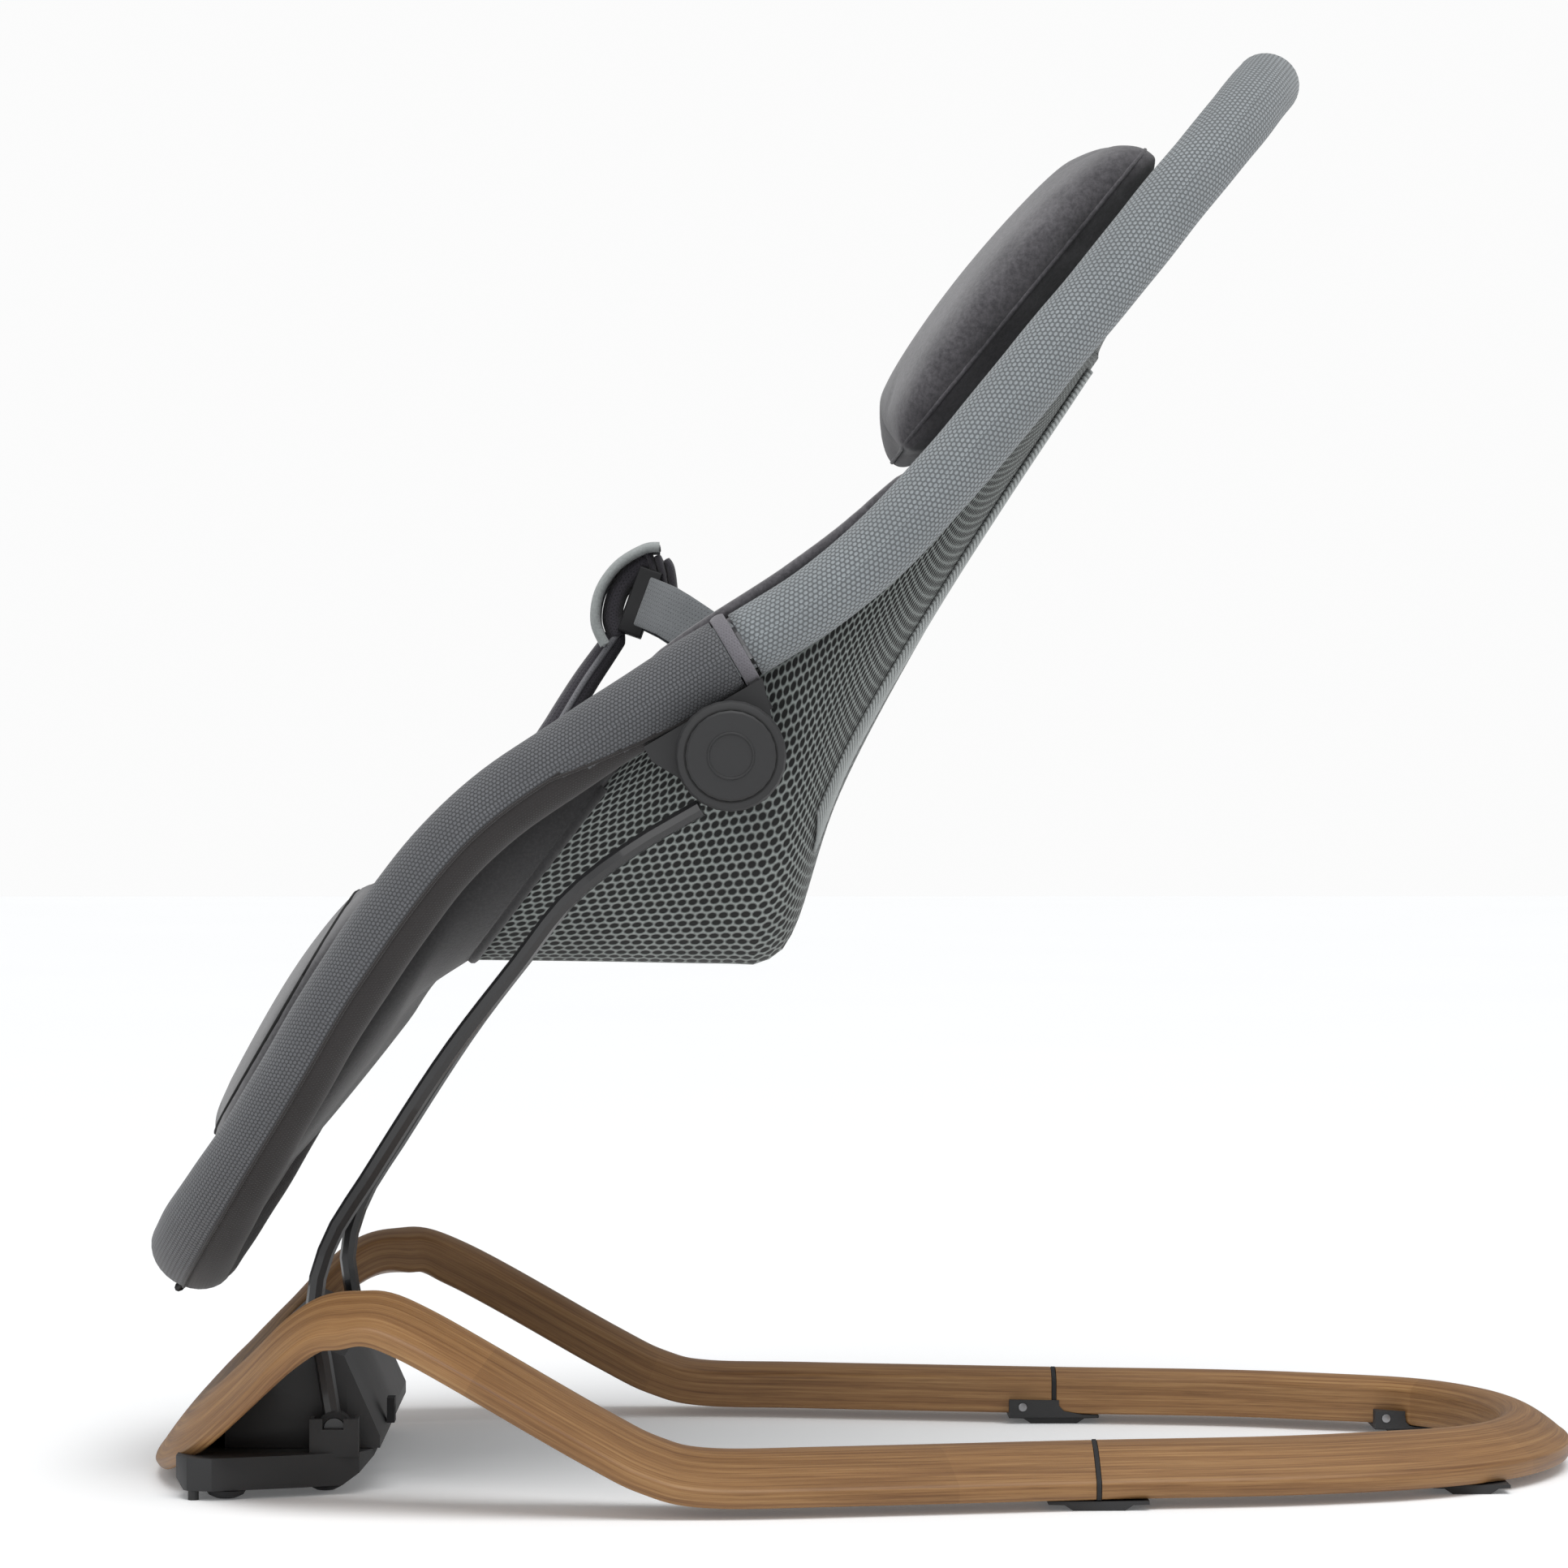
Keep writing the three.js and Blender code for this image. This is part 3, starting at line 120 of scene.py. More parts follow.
# %% A finish and its helpers
class Finish:
    """A material with its shader, a coordinate and short ways to add pattern nodes."""

    def __init__(self, name, color, roughness, metallic=0.0, coordinate="Object"):
        self.material = bpy.data.materials.new(name)
        self.material.use_nodes = True
        self.tree = self.material.node_tree
        self.shader = self.tree.nodes["Principled BSDF"]
        self.shader.inputs["Base Color"].default_value = (*color, 1)
        self.shader.inputs["Roughness"].default_value = roughness
        self.shader.inputs["Metallic"].default_value = metallic
        source = self.node("ShaderNodeTexCoord")
        self.place = source.outputs[coordinate]
        self.heights = []

    def node(self, kind, **values):
        made = self.tree.nodes.new(kind)
        for key, value in values.items():
            setattr(made, key, value)
        return made

    def link(self, a, b):
        self.tree.links.new(a, b)

    def scaled(self, scale, turn=(0, 0, 0)):
        mapping = self.node("ShaderNodeMapping")
        mapping.inputs["Scale"].default_value = scale
        mapping.inputs["Rotation"].default_value = turn
        self.link(self.place, mapping.inputs["Vector"])
        return mapping.outputs["Vector"]

    def noise(self, scale, detail=3.0, roughness=0.55, spot=None):
        made = self.node("ShaderNodeTexNoise")
        made.inputs["Scale"].default_value = scale
        made.inputs["Detail"].default_value = detail
        made.inputs["Roughness"].default_value = roughness
        self.link(spot or self.place, made.inputs["Vector"])
        return made.outputs["Fac"]

    def ramp(self, factor, stops):
        made = self.node("ShaderNodeValToRGB")
        points = made.color_ramp.elements
        while len(points) < len(stops):
            points.new(0.5)
        for point, (place, color) in zip(points, stops):
            point.position = place
            point.color = (*color, 1)
        self.link(factor, made.inputs["Fac"])
        return made.outputs["Color"]

    def math(self, operation, a, b=None):
        made = self.node("ShaderNodeMath", operation=operation)
        for socket, value in zip(made.inputs, (a, b)):
            if value is None:
                continue
            if isinstance(value, (int, float)):
                socket.default_value = value
            else:
                self.link(value, socket)
        return made.outputs["Value"]

    def mix(self, factor, a, b, how="MIX"):
        made = self.node("ShaderNodeMix", data_type="RGBA", blend_type=how)
        for socket, value in zip((made.inputs["Factor"], made.inputs["A"], made.inputs["B"]), (factor, a, b)):
            made_socket = socket
            if isinstance(value, (int, float)):
                made_socket.default_value = value
            elif isinstance(value, tuple):
                made_socket.default_value = (*value, 1)
            else:
                self.link(value, made_socket)
        return made.outputs[2]

    def color(self, output):
        self.link(output, self.shader.inputs["Base Color"])

    def rough(self, output):
        self.link(output, self.shader.inputs["Roughness"])

    def bump(self, height, distance, strength=1.0):
        made = self.node("ShaderNodeBump")
        made.inputs["Distance"].default_value = distance
        made.inputs["Strength"].default_value = strength
        self.link(height, made.inputs["Height"])
        if self.heights:
            self.link(self.heights[-1], made.inputs["Normal"])
        self.heights.append(made.outputs["Normal"])
        self.link(made.outputs["Normal"], self.shader.inputs["Normal"])

    def sheen(self, amount, roughness=0.5):
        self.shader.inputs["Sheen Weight"].default_value = amount
        self.shader.inputs["Sheen Roughness"].default_value = roughness


def shade(color, factor):
    return tuple(min(1.0, channel * factor) for channel in color)


print("finish helpers ready")

# %% [markdown]
# ### Wood
#
# The loop is glued up from thin layers and oiled a warm mid brown. Noise that is stretched along
# the board gives the grain, and slower noise gives each length its own tone.


# %% Wood
def wood_finish(name):
    oak = Finish(name, (0.30, 0.17, 0.09), 0.48, coordinate="UV")
    fine = oak.noise(1.0, 6, 0.62, oak.scaled((9, 620, 1)))
    pores = oak.noise(1.0, 4, 0.7, oak.scaled((34, 1700, 1)))
    broad = oak.noise(1.0, 3, 0.5, oak.scaled((3.2, 46, 1), (0, 0, 0.05)))
    arch = oak.node("ShaderNodeTexWave", wave_type="RINGS", rings_direction="SPHERICAL")
    arch.inputs["Scale"].default_value = 1.0
    arch.inputs["Distortion"].default_value = 5.0
    arch.inputs["Detail"].default_value = 3.0
    arch.inputs["Detail Scale"].default_value = 0.8
    oak.link(oak.scaled((2.2, 42, 1), (0, 0, 0.035)), arch.inputs["Vector"])
    length = oak.node("ShaderNodeSeparateXYZ")
    oak.link(oak.place, length.inputs["Vector"])
    board = oak.math("FLOOR", oak.math("DIVIDE", length.outputs["X"], 0.235))
    tone = oak.node("ShaderNodeTexWhiteNoise", noise_dimensions="1D")
    oak.link(board, tone.inputs["W"])
    grain = oak.ramp(fine, [(0.34, (0.215, 0.106, 0.040)), (0.52, (0.315, 0.172, 0.068)),
                            (0.70, (0.400, 0.240, 0.105))])
    streaks = oak.ramp(pores, [(0.36, (0.55, 0.48, 0.42)), (0.50, (1, 1, 1))])
    figure = oak.ramp(arch.outputs["Fac"], [(0.1, (0.74, 0.68, 0.63)), (0.6, (1, 1, 1))])
    cloud = oak.ramp(broad, [(0.3, (0.78, 0.74, 0.71)), (0.7, (1.10, 1.08, 1.05))])
    lengths = oak.ramp(tone.outputs["Value"], [(0.0, (0.90, 0.88, 0.86)), (1.0, (1.06, 1.05, 1.04))])
    shade_ = oak.mix(0.55, grain, streaks, "MULTIPLY")
    shade_ = oak.mix(0.60, shade_, figure, "MULTIPLY")
    shade_ = oak.mix(0.9, shade_, cloud, "MULTIPLY")
    oak.color(oak.mix(1.0, shade_, lengths, "MULTIPLY"))
    oak.rough(oak.math("ADD", oak.math("MULTIPLY", fine, 0.20), 0.38))
    oak.bump(pores, 0.00018, 0.6)
    oak.shader.inputs["Specular IOR Level"].default_value = 0.4
    return oak.material


oak = wood_finish("oiled_oak")
print("made", oak.name)

# %% [markdown]
# ### Plastics, rubber and metal
#
# The housing, feet and hubs are moulded in a fine spark-eroded texture, which scatters light
# softly. A bump of very small noise gives that texture, and wider noise changes the gloss a
# little. The rods are black powder coat, smoother than the housing.


# %% Moulded and metal finishes
def moulded(name, color, roughness, grain=900, depth=0.00006, metallic=0.0):
    made = Finish(name, color, roughness, metallic)
    speck = made.noise(grain, 2)
    cloud = made.noise(14, 3)
    made.color(made.ramp(cloud, [(0.3, shade(color, 0.9)), (0.7, shade(color, 1.1))]))
    made.rough(made.math("ADD", made.math("MULTIPLY", cloud, 0.18), roughness - 0.09))
    made.bump(speck, depth, 0.5)
    return made


anthracite = moulded("anthracite_moulding", (0.030, 0.030, 0.031), 0.56).material
anthracite.node_tree.nodes["Principled BSDF"].inputs["Specular IOR Level"].default_value = 0.35
black_plastic = moulded("black_plastic", (0.012, 0.012, 0.013), 0.36).material
button_grey = moulded("button_grey", (0.32, 0.33, 0.34), 0.5).material
rubber = moulded("black_rubber", (0.014, 0.014, 0.015), 0.8, 500, 0.0001).material
rod_black = moulded("rod_powder_coat", (0.016, 0.016, 0.017), 0.34, 1500, 0.00003).material
rod_black.node_tree.nodes["Principled BSDF"].inputs["Coat Weight"].default_value = 0.3
steel = moulded("plain_steel", (0.30, 0.30, 0.31), 0.35, 1200, 0.00002, 1.0).material
copper = moulded("copper_winding", (0.60, 0.27, 0.13), 0.35, 1800, 0.0001, 1.0).material
circuit = moulded("circuit_board", (0.03, 0.16, 0.08), 0.35, 300, 0.0001).material
# A near-black finish of painted shadow, for the shade in narrow gaps and seam grooves.
painted_groove_shadow = moulded("shadow_line", (0.006, 0.006, 0.006), 0.8).material
print("moulded and metal finishes made")

# %% [markdown]
# ### Cloth
#
# Each cloth piece carries its own map in metres, so a stitch has about its true size and follows
# the surface. Cells that are offset by half a pitch make rows of dots: sunk and painted dark as
# shade, they are the eyelets of the mesh; raised, with painted shade in the gaps between them,
# they are the dots of the knit.


# %% Cloth finishes
def rows(made, spot, pitch_u, pitch_v):
    """Distance from the nearest point of a staggered grid, 0 at a point and 1 half a pitch away."""
    apart = made.node("ShaderNodeSeparateXYZ")
    made.link(spot, apart.inputs["Vector"])
    row = made.math("DIVIDE", apart.outputs["Y"], pitch_v)
    odd = made.math("MULTIPLY", made.math("MODULO", made.math("ABSOLUTE", made.math("FLOOR", row)), 2.0), 0.5)
    column = made.math("ADD", made.math("DIVIDE", apart.outputs["X"], pitch_u), odd)
    across = made.math("SUBTRACT", made.math("FRACT", column), 0.5)
    down = made.math("SUBTRACT", made.math("FRACT", row), 0.5)
    square = made.math("ADD", made.math("MULTIPLY", across, across), made.math("MULTIPLY", down, down))
    return made.math("MULTIPLY", made.math("SQRT", square), 2.0)


def knit(name, color, pitch_u, pitch_v, eyelet, depth, fuzz=0.12, hole_shade=0.3, coordinate="UV",
         raised=False):
    """A knit with rows of eyelets painted dark as shade, or with rows of raised dots between gaps painted
    dark as shade.
    """
    made = Finish(name, color, 0.92, coordinate=coordinate)
    away = rows(made, made.place, pitch_u, pitch_v)
    low, high = ((1, 1, 1), (0, 0, 0)) if raised else ((0, 0, 0), (1, 1, 1))
    mask = made.ramp(away, [(max(0.0, eyelet - 0.16), low), (min(1.0, eyelet + 0.16), high)])
    cloud = made.noise(26, 4)
    fibre = made.noise(900, 3)
    ground = made.ramp(cloud, [(0.3, shade(color, 1 - fuzz)), (0.7, shade(color, 1 + fuzz))])
    ground = made.mix(0.35, ground, made.ramp(fibre, [(0.3, shade(color, 0.6)), (0.7, shade(color, 1.3))]))
    # The eyelets, or the gaps between raised dots, take the colour darkened by hole_shade: painted shade in
    # the sunk parts of the weave.
    made.color(made.mix(mask, shade(color, hole_shade), ground))
    made.bump(mask, depth, 0.7)
    made.bump(fibre, 0.0002, 0.4)
    made.sheen(0.25)
    return made.material


light_knit = knit("light_coarse_knit", (0.285, 0.310, 0.325), 0.0027, 0.0021, 0.80, 0.0008, hole_shade=0.44,
                  raised=True)
dark_knit = knit("dark_dotted_knit", (0.128, 0.132, 0.142), 0.0021, 0.0017, 0.78, 0.0006, hole_shade=0.42,
                 raised=True)
under_cloth = knit("underside_cloth", (0.026, 0.023, 0.023), 0.0016, 0.0014, 0.26, 0.0003, hole_shade=0.6)
tape_knit = knit("mauve_grey_tape", (0.165, 0.158, 0.175), 0.0016, 0.0012, 0.34, 0.0003, hole_shade=0.6)
# The mesh's eyelets are painted near black as shade, for the dark seen through holes that are not cut.
mesh_knit = knit("eyelet_mesh", (0.260, 0.285, 0.274), 0.0054, 0.0050, 0.84, 0.0014, hole_shade=0.02)
binding = knit("ribbed_binding", (0.340, 0.362, 0.358), 0.0036, 0.0600, 0.36, 0.0010, hole_shade=0.45)
liner = knit("soft_liner", (0.105, 0.105, 0.115), 0.0016, 0.0015, 0.26, 0.0002, hole_shade=0.7,
             coordinate="Object")
webbing = knit("strap_webbing", (0.050, 0.046, 0.056), 0.0018, 0.0026, 0.40, 0.0004, hole_shade=0.5)
strap_grey = knit("grey_strap", (0.150, 0.160, 0.168), 0.0018, 0.0022, 0.36, 0.0004, hole_shade=0.6)
cover_grey = knit("pale_cover", (0.40, 0.41, 0.42), 0.0018, 0.0020, 0.30, 0.0003, hole_shade=0.7)
piping_grey = knit("grey_piping", (0.20, 0.20, 0.215), 0.0016, 0.0016, 0.30, 0.0003, hole_shade=0.6)
print("cloth finishes", light_knit.name, dark_knit.name, mesh_knit.name)


# %% Felt and melange
def melange(name, dark, light, scale, depth, coordinate="Object"):
    made = Finish(name, dark, 0.97, coordinate=coordinate)
    streak = made.noise(scale, 6, 0.72)
    cloud = made.noise(30, 3)
    yarn = made.ramp(streak, [(0.36, dark), (0.52, shade(light, 0.6)), (0.68, light)])
    made.color(made.mix(0.3, yarn, made.ramp(cloud, [(0.3, dark), (0.7, light)])))
    made.bump(streak, depth, 0.6)
    made.sheen(0.35, 0.6)
    return made.material


felt = melange("dark_felt", (0.013, 0.013, 0.014), (0.036, 0.035, 0.037), 700, 0.0004)
dark_melange = melange("dark_melange", (0.018, 0.017, 0.020), (0.078, 0.075, 0.082), 420, 0.0003)
charcoal = melange("charcoal_melange", (0.028, 0.026, 0.031), (0.125, 0.118, 0.130), 420, 0.0003)
print("made", felt.name, charcoal.name)

# %% [markdown]
# ## The hard parts
#
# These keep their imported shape. A Weld modifier joins their loose triangles, so that smooth
# shading and a small bevel can work: real mouldings never have a knife edge.

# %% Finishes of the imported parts
SIDES = ("_right", "_left")


def both(*names):
    return [name + side for name in names for side in SIDES]


HARD = {
    anthracite: ["tray", "battery_door", "upper_shell"] + both(
        "mid_foot", "rear_foot", "shaft_bush", "hub_bracket", "hub_housing", "hub_button"),
    rubber: ["power_inlet"] + both("joint_band", "front_dome_foot", "back_dome_foot", "rod_socket"),
    black_plastic: ["control_panel", "buckle"],
    button_grey: ["button_speed", "button_power", "button_timer", "buckle_button"],
    circuit: ["circuit_board"],
    steel: ["drive_lever", "drive_magnet", "return_spring", "upper_tube",
            "lower_tube"] + both("hub_pin"),
    copper: ["drive_coil"],
    rod_black: ["rocker_shaft"] + both("rod"),
}
BEVELS = {"tray": 0.0010, "battery_door": 0.0004, "upper_shell": 0.0016, "control_panel": 0.0005,
          "buckle": 0.0012, "hub_bracket_right": 0.0009, "hub_bracket_left": 0.0009,
          "mid_foot_right": 0.0007, "mid_foot_left": 0.0007, "rear_foot_right": 0.0007,
          "rear_foot_left": 0.0007}

for material, nodes in HARD.items():
    for name in nodes:
        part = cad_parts[name]
        part.data.materials.clear()
        part.data.materials.append(material)
        for face in part.data.polygons:
            face.use_smooth = True
        weld = part.modifiers.new("weld", "WELD")
        weld.merge_threshold = 0.00002
        if name in BEVELS:
            bevel = part.modifiers.new("soft_edges", "BEVEL")
            bevel.width = BEVELS[name]
            bevel.segments = 2
            bevel.limit_method = "ANGLE"
            bevel.angle_limit = math.radians(35)
        split = part.modifiers.new("crease", "EDGE_SPLIT")
        split.split_angle = math.radians(32)
print("hard parts finished", sum(len(nodes) for nodes in HARD.values()))

# %% [markdown]
# ## The seat frame's line
#
# The seat hangs in one long oval tube that is bent in side view. Its side profile is a smooth
# curve through a few points, counted from the hub, and seen flat on it is a squared oval. Every
# soft piece is placed with these two, so all of them keep to the frame.

# %% Side profile
PROFILE = [(0.266, 0.332), (0.212, 0.266), (0.165, 0.208), (0.088, 0.116), (0.040, 0.073),
           (-0.019, 0.0365), (-0.066, 0.006), (-0.125, -0.037), (-0.176, -0.103),
           (-0.215, -0.167), (-0.266, -0.247)]
TUBE_HALF = 0.196
SQUARENESS = 2.5


def spline(points, fine=30):
    """A Catmull-Rom curve through the points, as many short steps."""
    spots = [Vector(p) for p in points]
    out = []
    for i in range(len(spots) - 1):
        p0 = spots[max(i - 1, 0)]
        p1, p2 = spots[i], spots[i + 1]
        p3 = spots[min(i + 2, len(spots) - 1)]
        for step in range(fine):
            t = step / fine
            v0, v1 = (p2 - p0) / 2, (p3 - p1) / 2
            out.append((2 * p1 - 2 * p2 + v0 + v1) * t ** 3 + (-3 * p1 + 3 * p2 - 2 * v0 - v1) * t ** 2
                       + v0 * t + p1)
    return out + [spots[-1]]


class Line:
    """A flat curve in the Y-Z plane, measured along its length."""

    def __init__(self, points):
        self.spots = [Vector((0, HUB.y + y, HUB.z + z)) for y, z in spline(points)]
        self.run = [0.0]
        for a, b in zip(self.spots, self.spots[1:]):
            self.run.append(self.run[-1] + (b - a).length)
        self.length = self.run[-1]

    def find(self, along):
        along = min(max(along, 0.0), self.length)
        low, high = 0, len(self.run) - 1
        while high - low > 1:
            middle = (low + high) // 2
            if self.run[middle] <= along:
                low = middle
            else:
                high = middle
        share = (along - self.run[low]) / (self.run[high] - self.run[low])
        return low, share

    def at(self, along):
        low, share = self.find(along)
        return self.spots[low].lerp(self.spots[low + 1], share)

    def down(self, along):
        reach = 0.004
        return (self.at(along + reach) - self.at(along - reach)).normalized()

    def up(self, along):
        run = self.down(along)
        return Vector((0, run.z, -run.y))

    def along(self, y):
        """Length at which the curve passes y, counted from the hub."""
        best = min(range(len(self.spots)), key=lambda i: abs(self.spots[i].y - HUB.y - y))
        return self.run[best]


seat = Line(PROFILE)
HALF = seat.length / 2
print("seat profile is", round(seat.length, 3), "m long")


# %% Flat oval
def oval_half(along, inset=0.0):
    """Half width of the oval at a length, or of a smaller oval inside it."""
    reach = HALF - inset
    share = min(1.0, abs(HALF - along) / reach)
    return (TUBE_HALF - inset) * (1 - share ** SQUARENESS) ** (1 / SQUARENESS)


def oval_spot(angle):
    power = 2 / SQUARENESS
    c, s = math.cos(angle), math.sin(angle)
    x = TUBE_HALF * math.copysign(abs(c) ** power, c)
    along = HALF - HALF * math.copysign(abs(s) ** power, s)
    return x, along


JUNCTION = seat.along(0.002)


def ring(start_along, end_along, head, count):
    """Evenly spaced (x, along) places round the head half or the foot half of the oval."""
    fine = []
    turn = (0.0, math.pi) if head else (math.pi, 2 * math.pi)
    for i in range(-400, 1201):
        angle = turn[0] + (turn[1] - turn[0]) * i / 800
        spot = oval_spot(angle)
        if (spot[1] <= start_along) if head else (spot[1] >= end_along):
            fine.append(spot)
    fine = [fine[i] for i in range(len(fine)) if i == 0 or fine[i] != fine[i - 1]]
    run = [0.0]
    for a, b in zip(fine, fine[1:]):
        run.append(run[-1] + math.hypot(b[0] - a[0], b[1] - a[1]))
    out, j = [], 0
    for i in range(count + 1):
        want = run[-1] * i / count
        while j < len(run) - 2 and run[j + 1] < want:
            j += 1
        share = (want - run[j]) / max(run[j + 1] - run[j], 1e-9)
        out.append(tuple(a + (b - a) * share for a, b in zip(fine[j], fine[j + 1])))
    return out


def ring_frames(spots):
    """Point, outward and upward directions, and distance run, at each place round the ring."""
    points = [seat.at(along) + Vector((x, 0, 0)) for x, along in spots]
    frames, run = [], 0.0
    for i, point in enumerate(points):
        before, after = points[max(i - 1, 0)], points[min(i + 1, len(points) - 1)]
        up = seat.up(spots[i][1])
        out = (after - before).normalized().cross(up).normalized()
        centre = seat.at(HALF)
        if out.dot(Vector((spots[i][0], 0, 0)) + seat.down(spots[i][1]) * (spots[i][1] - HALF)) < 0:
            out.negate()
        if i:
            run += (point - points[i - 1]).length
        frames.append((point, out, up, run))
    return frames


print("tube is", round(2 * TUBE_HALF, 3), "m across")

# %% [markdown]
# ## A sheet helper
#
# Most soft pieces are a sheet that is bent into place: a grid of faces whose every corner is
# moved to where the cloth lies. The grid's own map, in metres, stays on it for the weave. When
# two opposite edges meet, they are merged, and open ends are filled.


# %% Sheet and tube helpers
def sheet_piece(name, columns, rows_, place, size, material, body="seat", closed=False, wall=0.0,
                smooth=0):
    bm = bmesh.new()
    layer = bm.loops.layers.uv.new("map")
    bmesh.ops.create_grid(bm, x_segments=columns, y_segments=rows_, size=0.5)
    for face in bm.faces:
        for loop in face.loops:
            u, v = loop.vert.co.x + 0.5, loop.vert.co.y + 0.5
            loop[layer].uv = (u * size[0], v * size[1])
    for corner in bm.verts:
        corner.co = place(min(max(corner.co.x + 0.5, 0.0), 1.0), min(max(corner.co.y + 0.5, 0.0), 1.0))
    if closed:
        bmesh.ops.remove_doubles(bm, verts=bm.verts, dist=0.00002)
        edges = [edge for edge in bm.edges if edge.is_boundary]
        bmesh.ops.holes_fill(bm, edges=edges, sides=0)
    bmesh.ops.recalc_face_normals(bm, faces=bm.faces)
    return finished(name, bm, material, body, wall, smooth)


def finished(name, bm, material, body="seat", wall=0.0, smooth=0):
    mesh = bpy.data.meshes.new(name)
    bm.to_mesh(mesh)
    bm.free()
    for face in mesh.polygons:
        face.use_smooth = True
    piece = bpy.data.objects.new(name, mesh)
    piece.data.materials.append(material)
    bpy.context.scene.collection.objects.link(piece)
    if wall:
        thick = piece.modifiers.new("wall", "SOLIDIFY")
        thick.thickness = wall
        thick.offset = 0
    if smooth:
        rounder = piece.modifiers.new("rounder", "SUBSURF")
        rounder.levels = smooth
        rounder.render_levels = smooth
    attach(piece, body)
    return piece


def stretched(place):
    """Measures the longest line along and across a shape's flat cut; the sizes are not used."""

    def longest(spot):
        lines = [[spot(i / 24, j / 24) for i in range(25)] for j in range(25)]
        return max(sum((b - a).length for a, b in zip(line, line[1:])) for line in lines)

    length = longest(place)
    width = longest(lambda along, across: place(across, along))


def tube(name, points, radius, material, body="seat", sides=10, flat=1.0):
    """A round or flattened cord of cloth along a list of points."""
    runs = [0.0]
    for a, b in zip(points, points[1:]):
        runs.append(runs[-1] + (b - a).length)
    frames, normal = [], None
    for i, point in enumerate(points):
        run = (points[min(i + 1, len(points) - 1)] - points[max(i - 1, 0)]).normalized()
        if normal is None:
            normal = run.orthogonal().normalized()
        normal = (normal - run * normal.dot(run)).normalized()
        frames.append((point, normal, run.cross(normal)))
    last = len(points) - 1

    def place(u, v):
        point, a, b = frames[round(u * last)]
        turn = 2 * math.pi * v
        return point + (a * math.cos(turn) + b * math.sin(turn) * flat) * radius

    return sheet_piece(name, last, sides, place, (runs[-1], 2 * math.pi * radius), material, body,
                       closed=True)


print("sheet and tube helpers ready")

# %% [markdown]
# ## The wooden loop
#
# The loop is a flat board, bent in plan into a long oval and bent up into a hump at the front.
# Its section has a crown towards the inner edge and falls away to a thin outer edge. The board is
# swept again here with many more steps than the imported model, so that its curves are clean and
# the grain has a map to follow. A cutting plane trims each part square at the joint.

# %% Plan and profile of the loop
JOINT_LOW, JOINT_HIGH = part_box("joint_band_right")
JOINT = (JOINT_LOW.y + JOINT_HIGH.y) / 2
BOARD_PROFILE = [(0.375, 5), (0.200, 5), (0.080, 5), (-0.020, 5), (-0.078, 5.6), (-0.106, 12),
                 (-0.136, 27), (-0.214, 71), (-0.240, 77), (-0.264, 68), (-0.308, 28), (-0.330, 13),
                 (-0.357, 8)]
REAR_PLAN = [(0.848, 0.106), (0.777, 0.196), (0.69, 0.247), (0.55, 0.294), (0.32, 0.323)]
FRONT_PLAN = [(0.93, 0.020), (1, -0.062), (1, -0.132), (0.975, -0.208), (0.9, -0.253),
              (0.75, -0.285), (0.6, -0.304), (0.36, -0.317)]
LOOP_HALF, LOOP_REAR, LOOP_FRONT = 0.224, 0.335, -0.321
SHIFT = JOINT - 0.106


class Board(Line):
    """The side profile of the board, measured along its length from the rear end."""

    def __init__(self, points):
        self.spots = [Vector((0, y + SHIFT, z / 1000)) for y, z in spline(points)]
        self.run = [0.0]
        for a, b in zip(self.spots, self.spots[1:]):
            self.run.append(self.run[-1] + (b - a).length)
        self.length = self.run[-1]

    def along(self, y):
        for i in range(len(self.spots) - 1):
            if self.spots[i + 1].y <= y + SHIFT:
                a, b = self.spots[i], self.spots[i + 1]
                return self.run[i] + (self.run[i + 1] - self.run[i]) * (a.y - y - SHIFT) / (a.y - b.y)
        return self.length


board = Board(BOARD_PROFILE)


def even_spline(points, fine):
    """A closed curve through unevenly spaced points, without overshoot."""
    count, out = len(points), []
    for i in range(count):
        p0, p1, p2, p3 = (Vector(points[(i + k - 1) % count]) for k in range(4))
        d0, d1, d2 = (math.sqrt((b - a).length) for a, b in ((p0, p1), (p1, p2), (p2, p3)))
        t1 = ((p1 - p0) / d0 - (p2 - p0) / (d0 + d1) + (p2 - p1) / d1) * d1
        t2 = ((p2 - p1) / d1 - (p3 - p1) / (d1 + d2) + (p3 - p2) / d2) * d1
        for step in range(fine):
            t = step / fine
            out.append(p1 + t1 * t + (-3 * p1 + 3 * p2 - 2 * t1 - t2) * t * t
                       + (2 * p1 - 2 * p2 + t1 + t2) * t ** 3)
    return out


def mirrored(points):
    return [(-x, y) for x, y in reversed(points)]


AROUND = (REAR_PLAN + [(0, LOOP_REAR)] + mirrored(REAR_PLAN) + [(-x, y) for x, y in FRONT_PLAN]
          + [(0, LOOP_FRONT)] + list(reversed(FRONT_PLAN)))
FINE = 26
plan = even_spline([(x * LOOP_HALF if abs(x) else 0.0, board.along(y)) for x, y in AROUND], FINE)
LEFT_JOINT = 2 * len(REAR_PLAN) * FINE
print("loop plan has", len(plan), "steps")

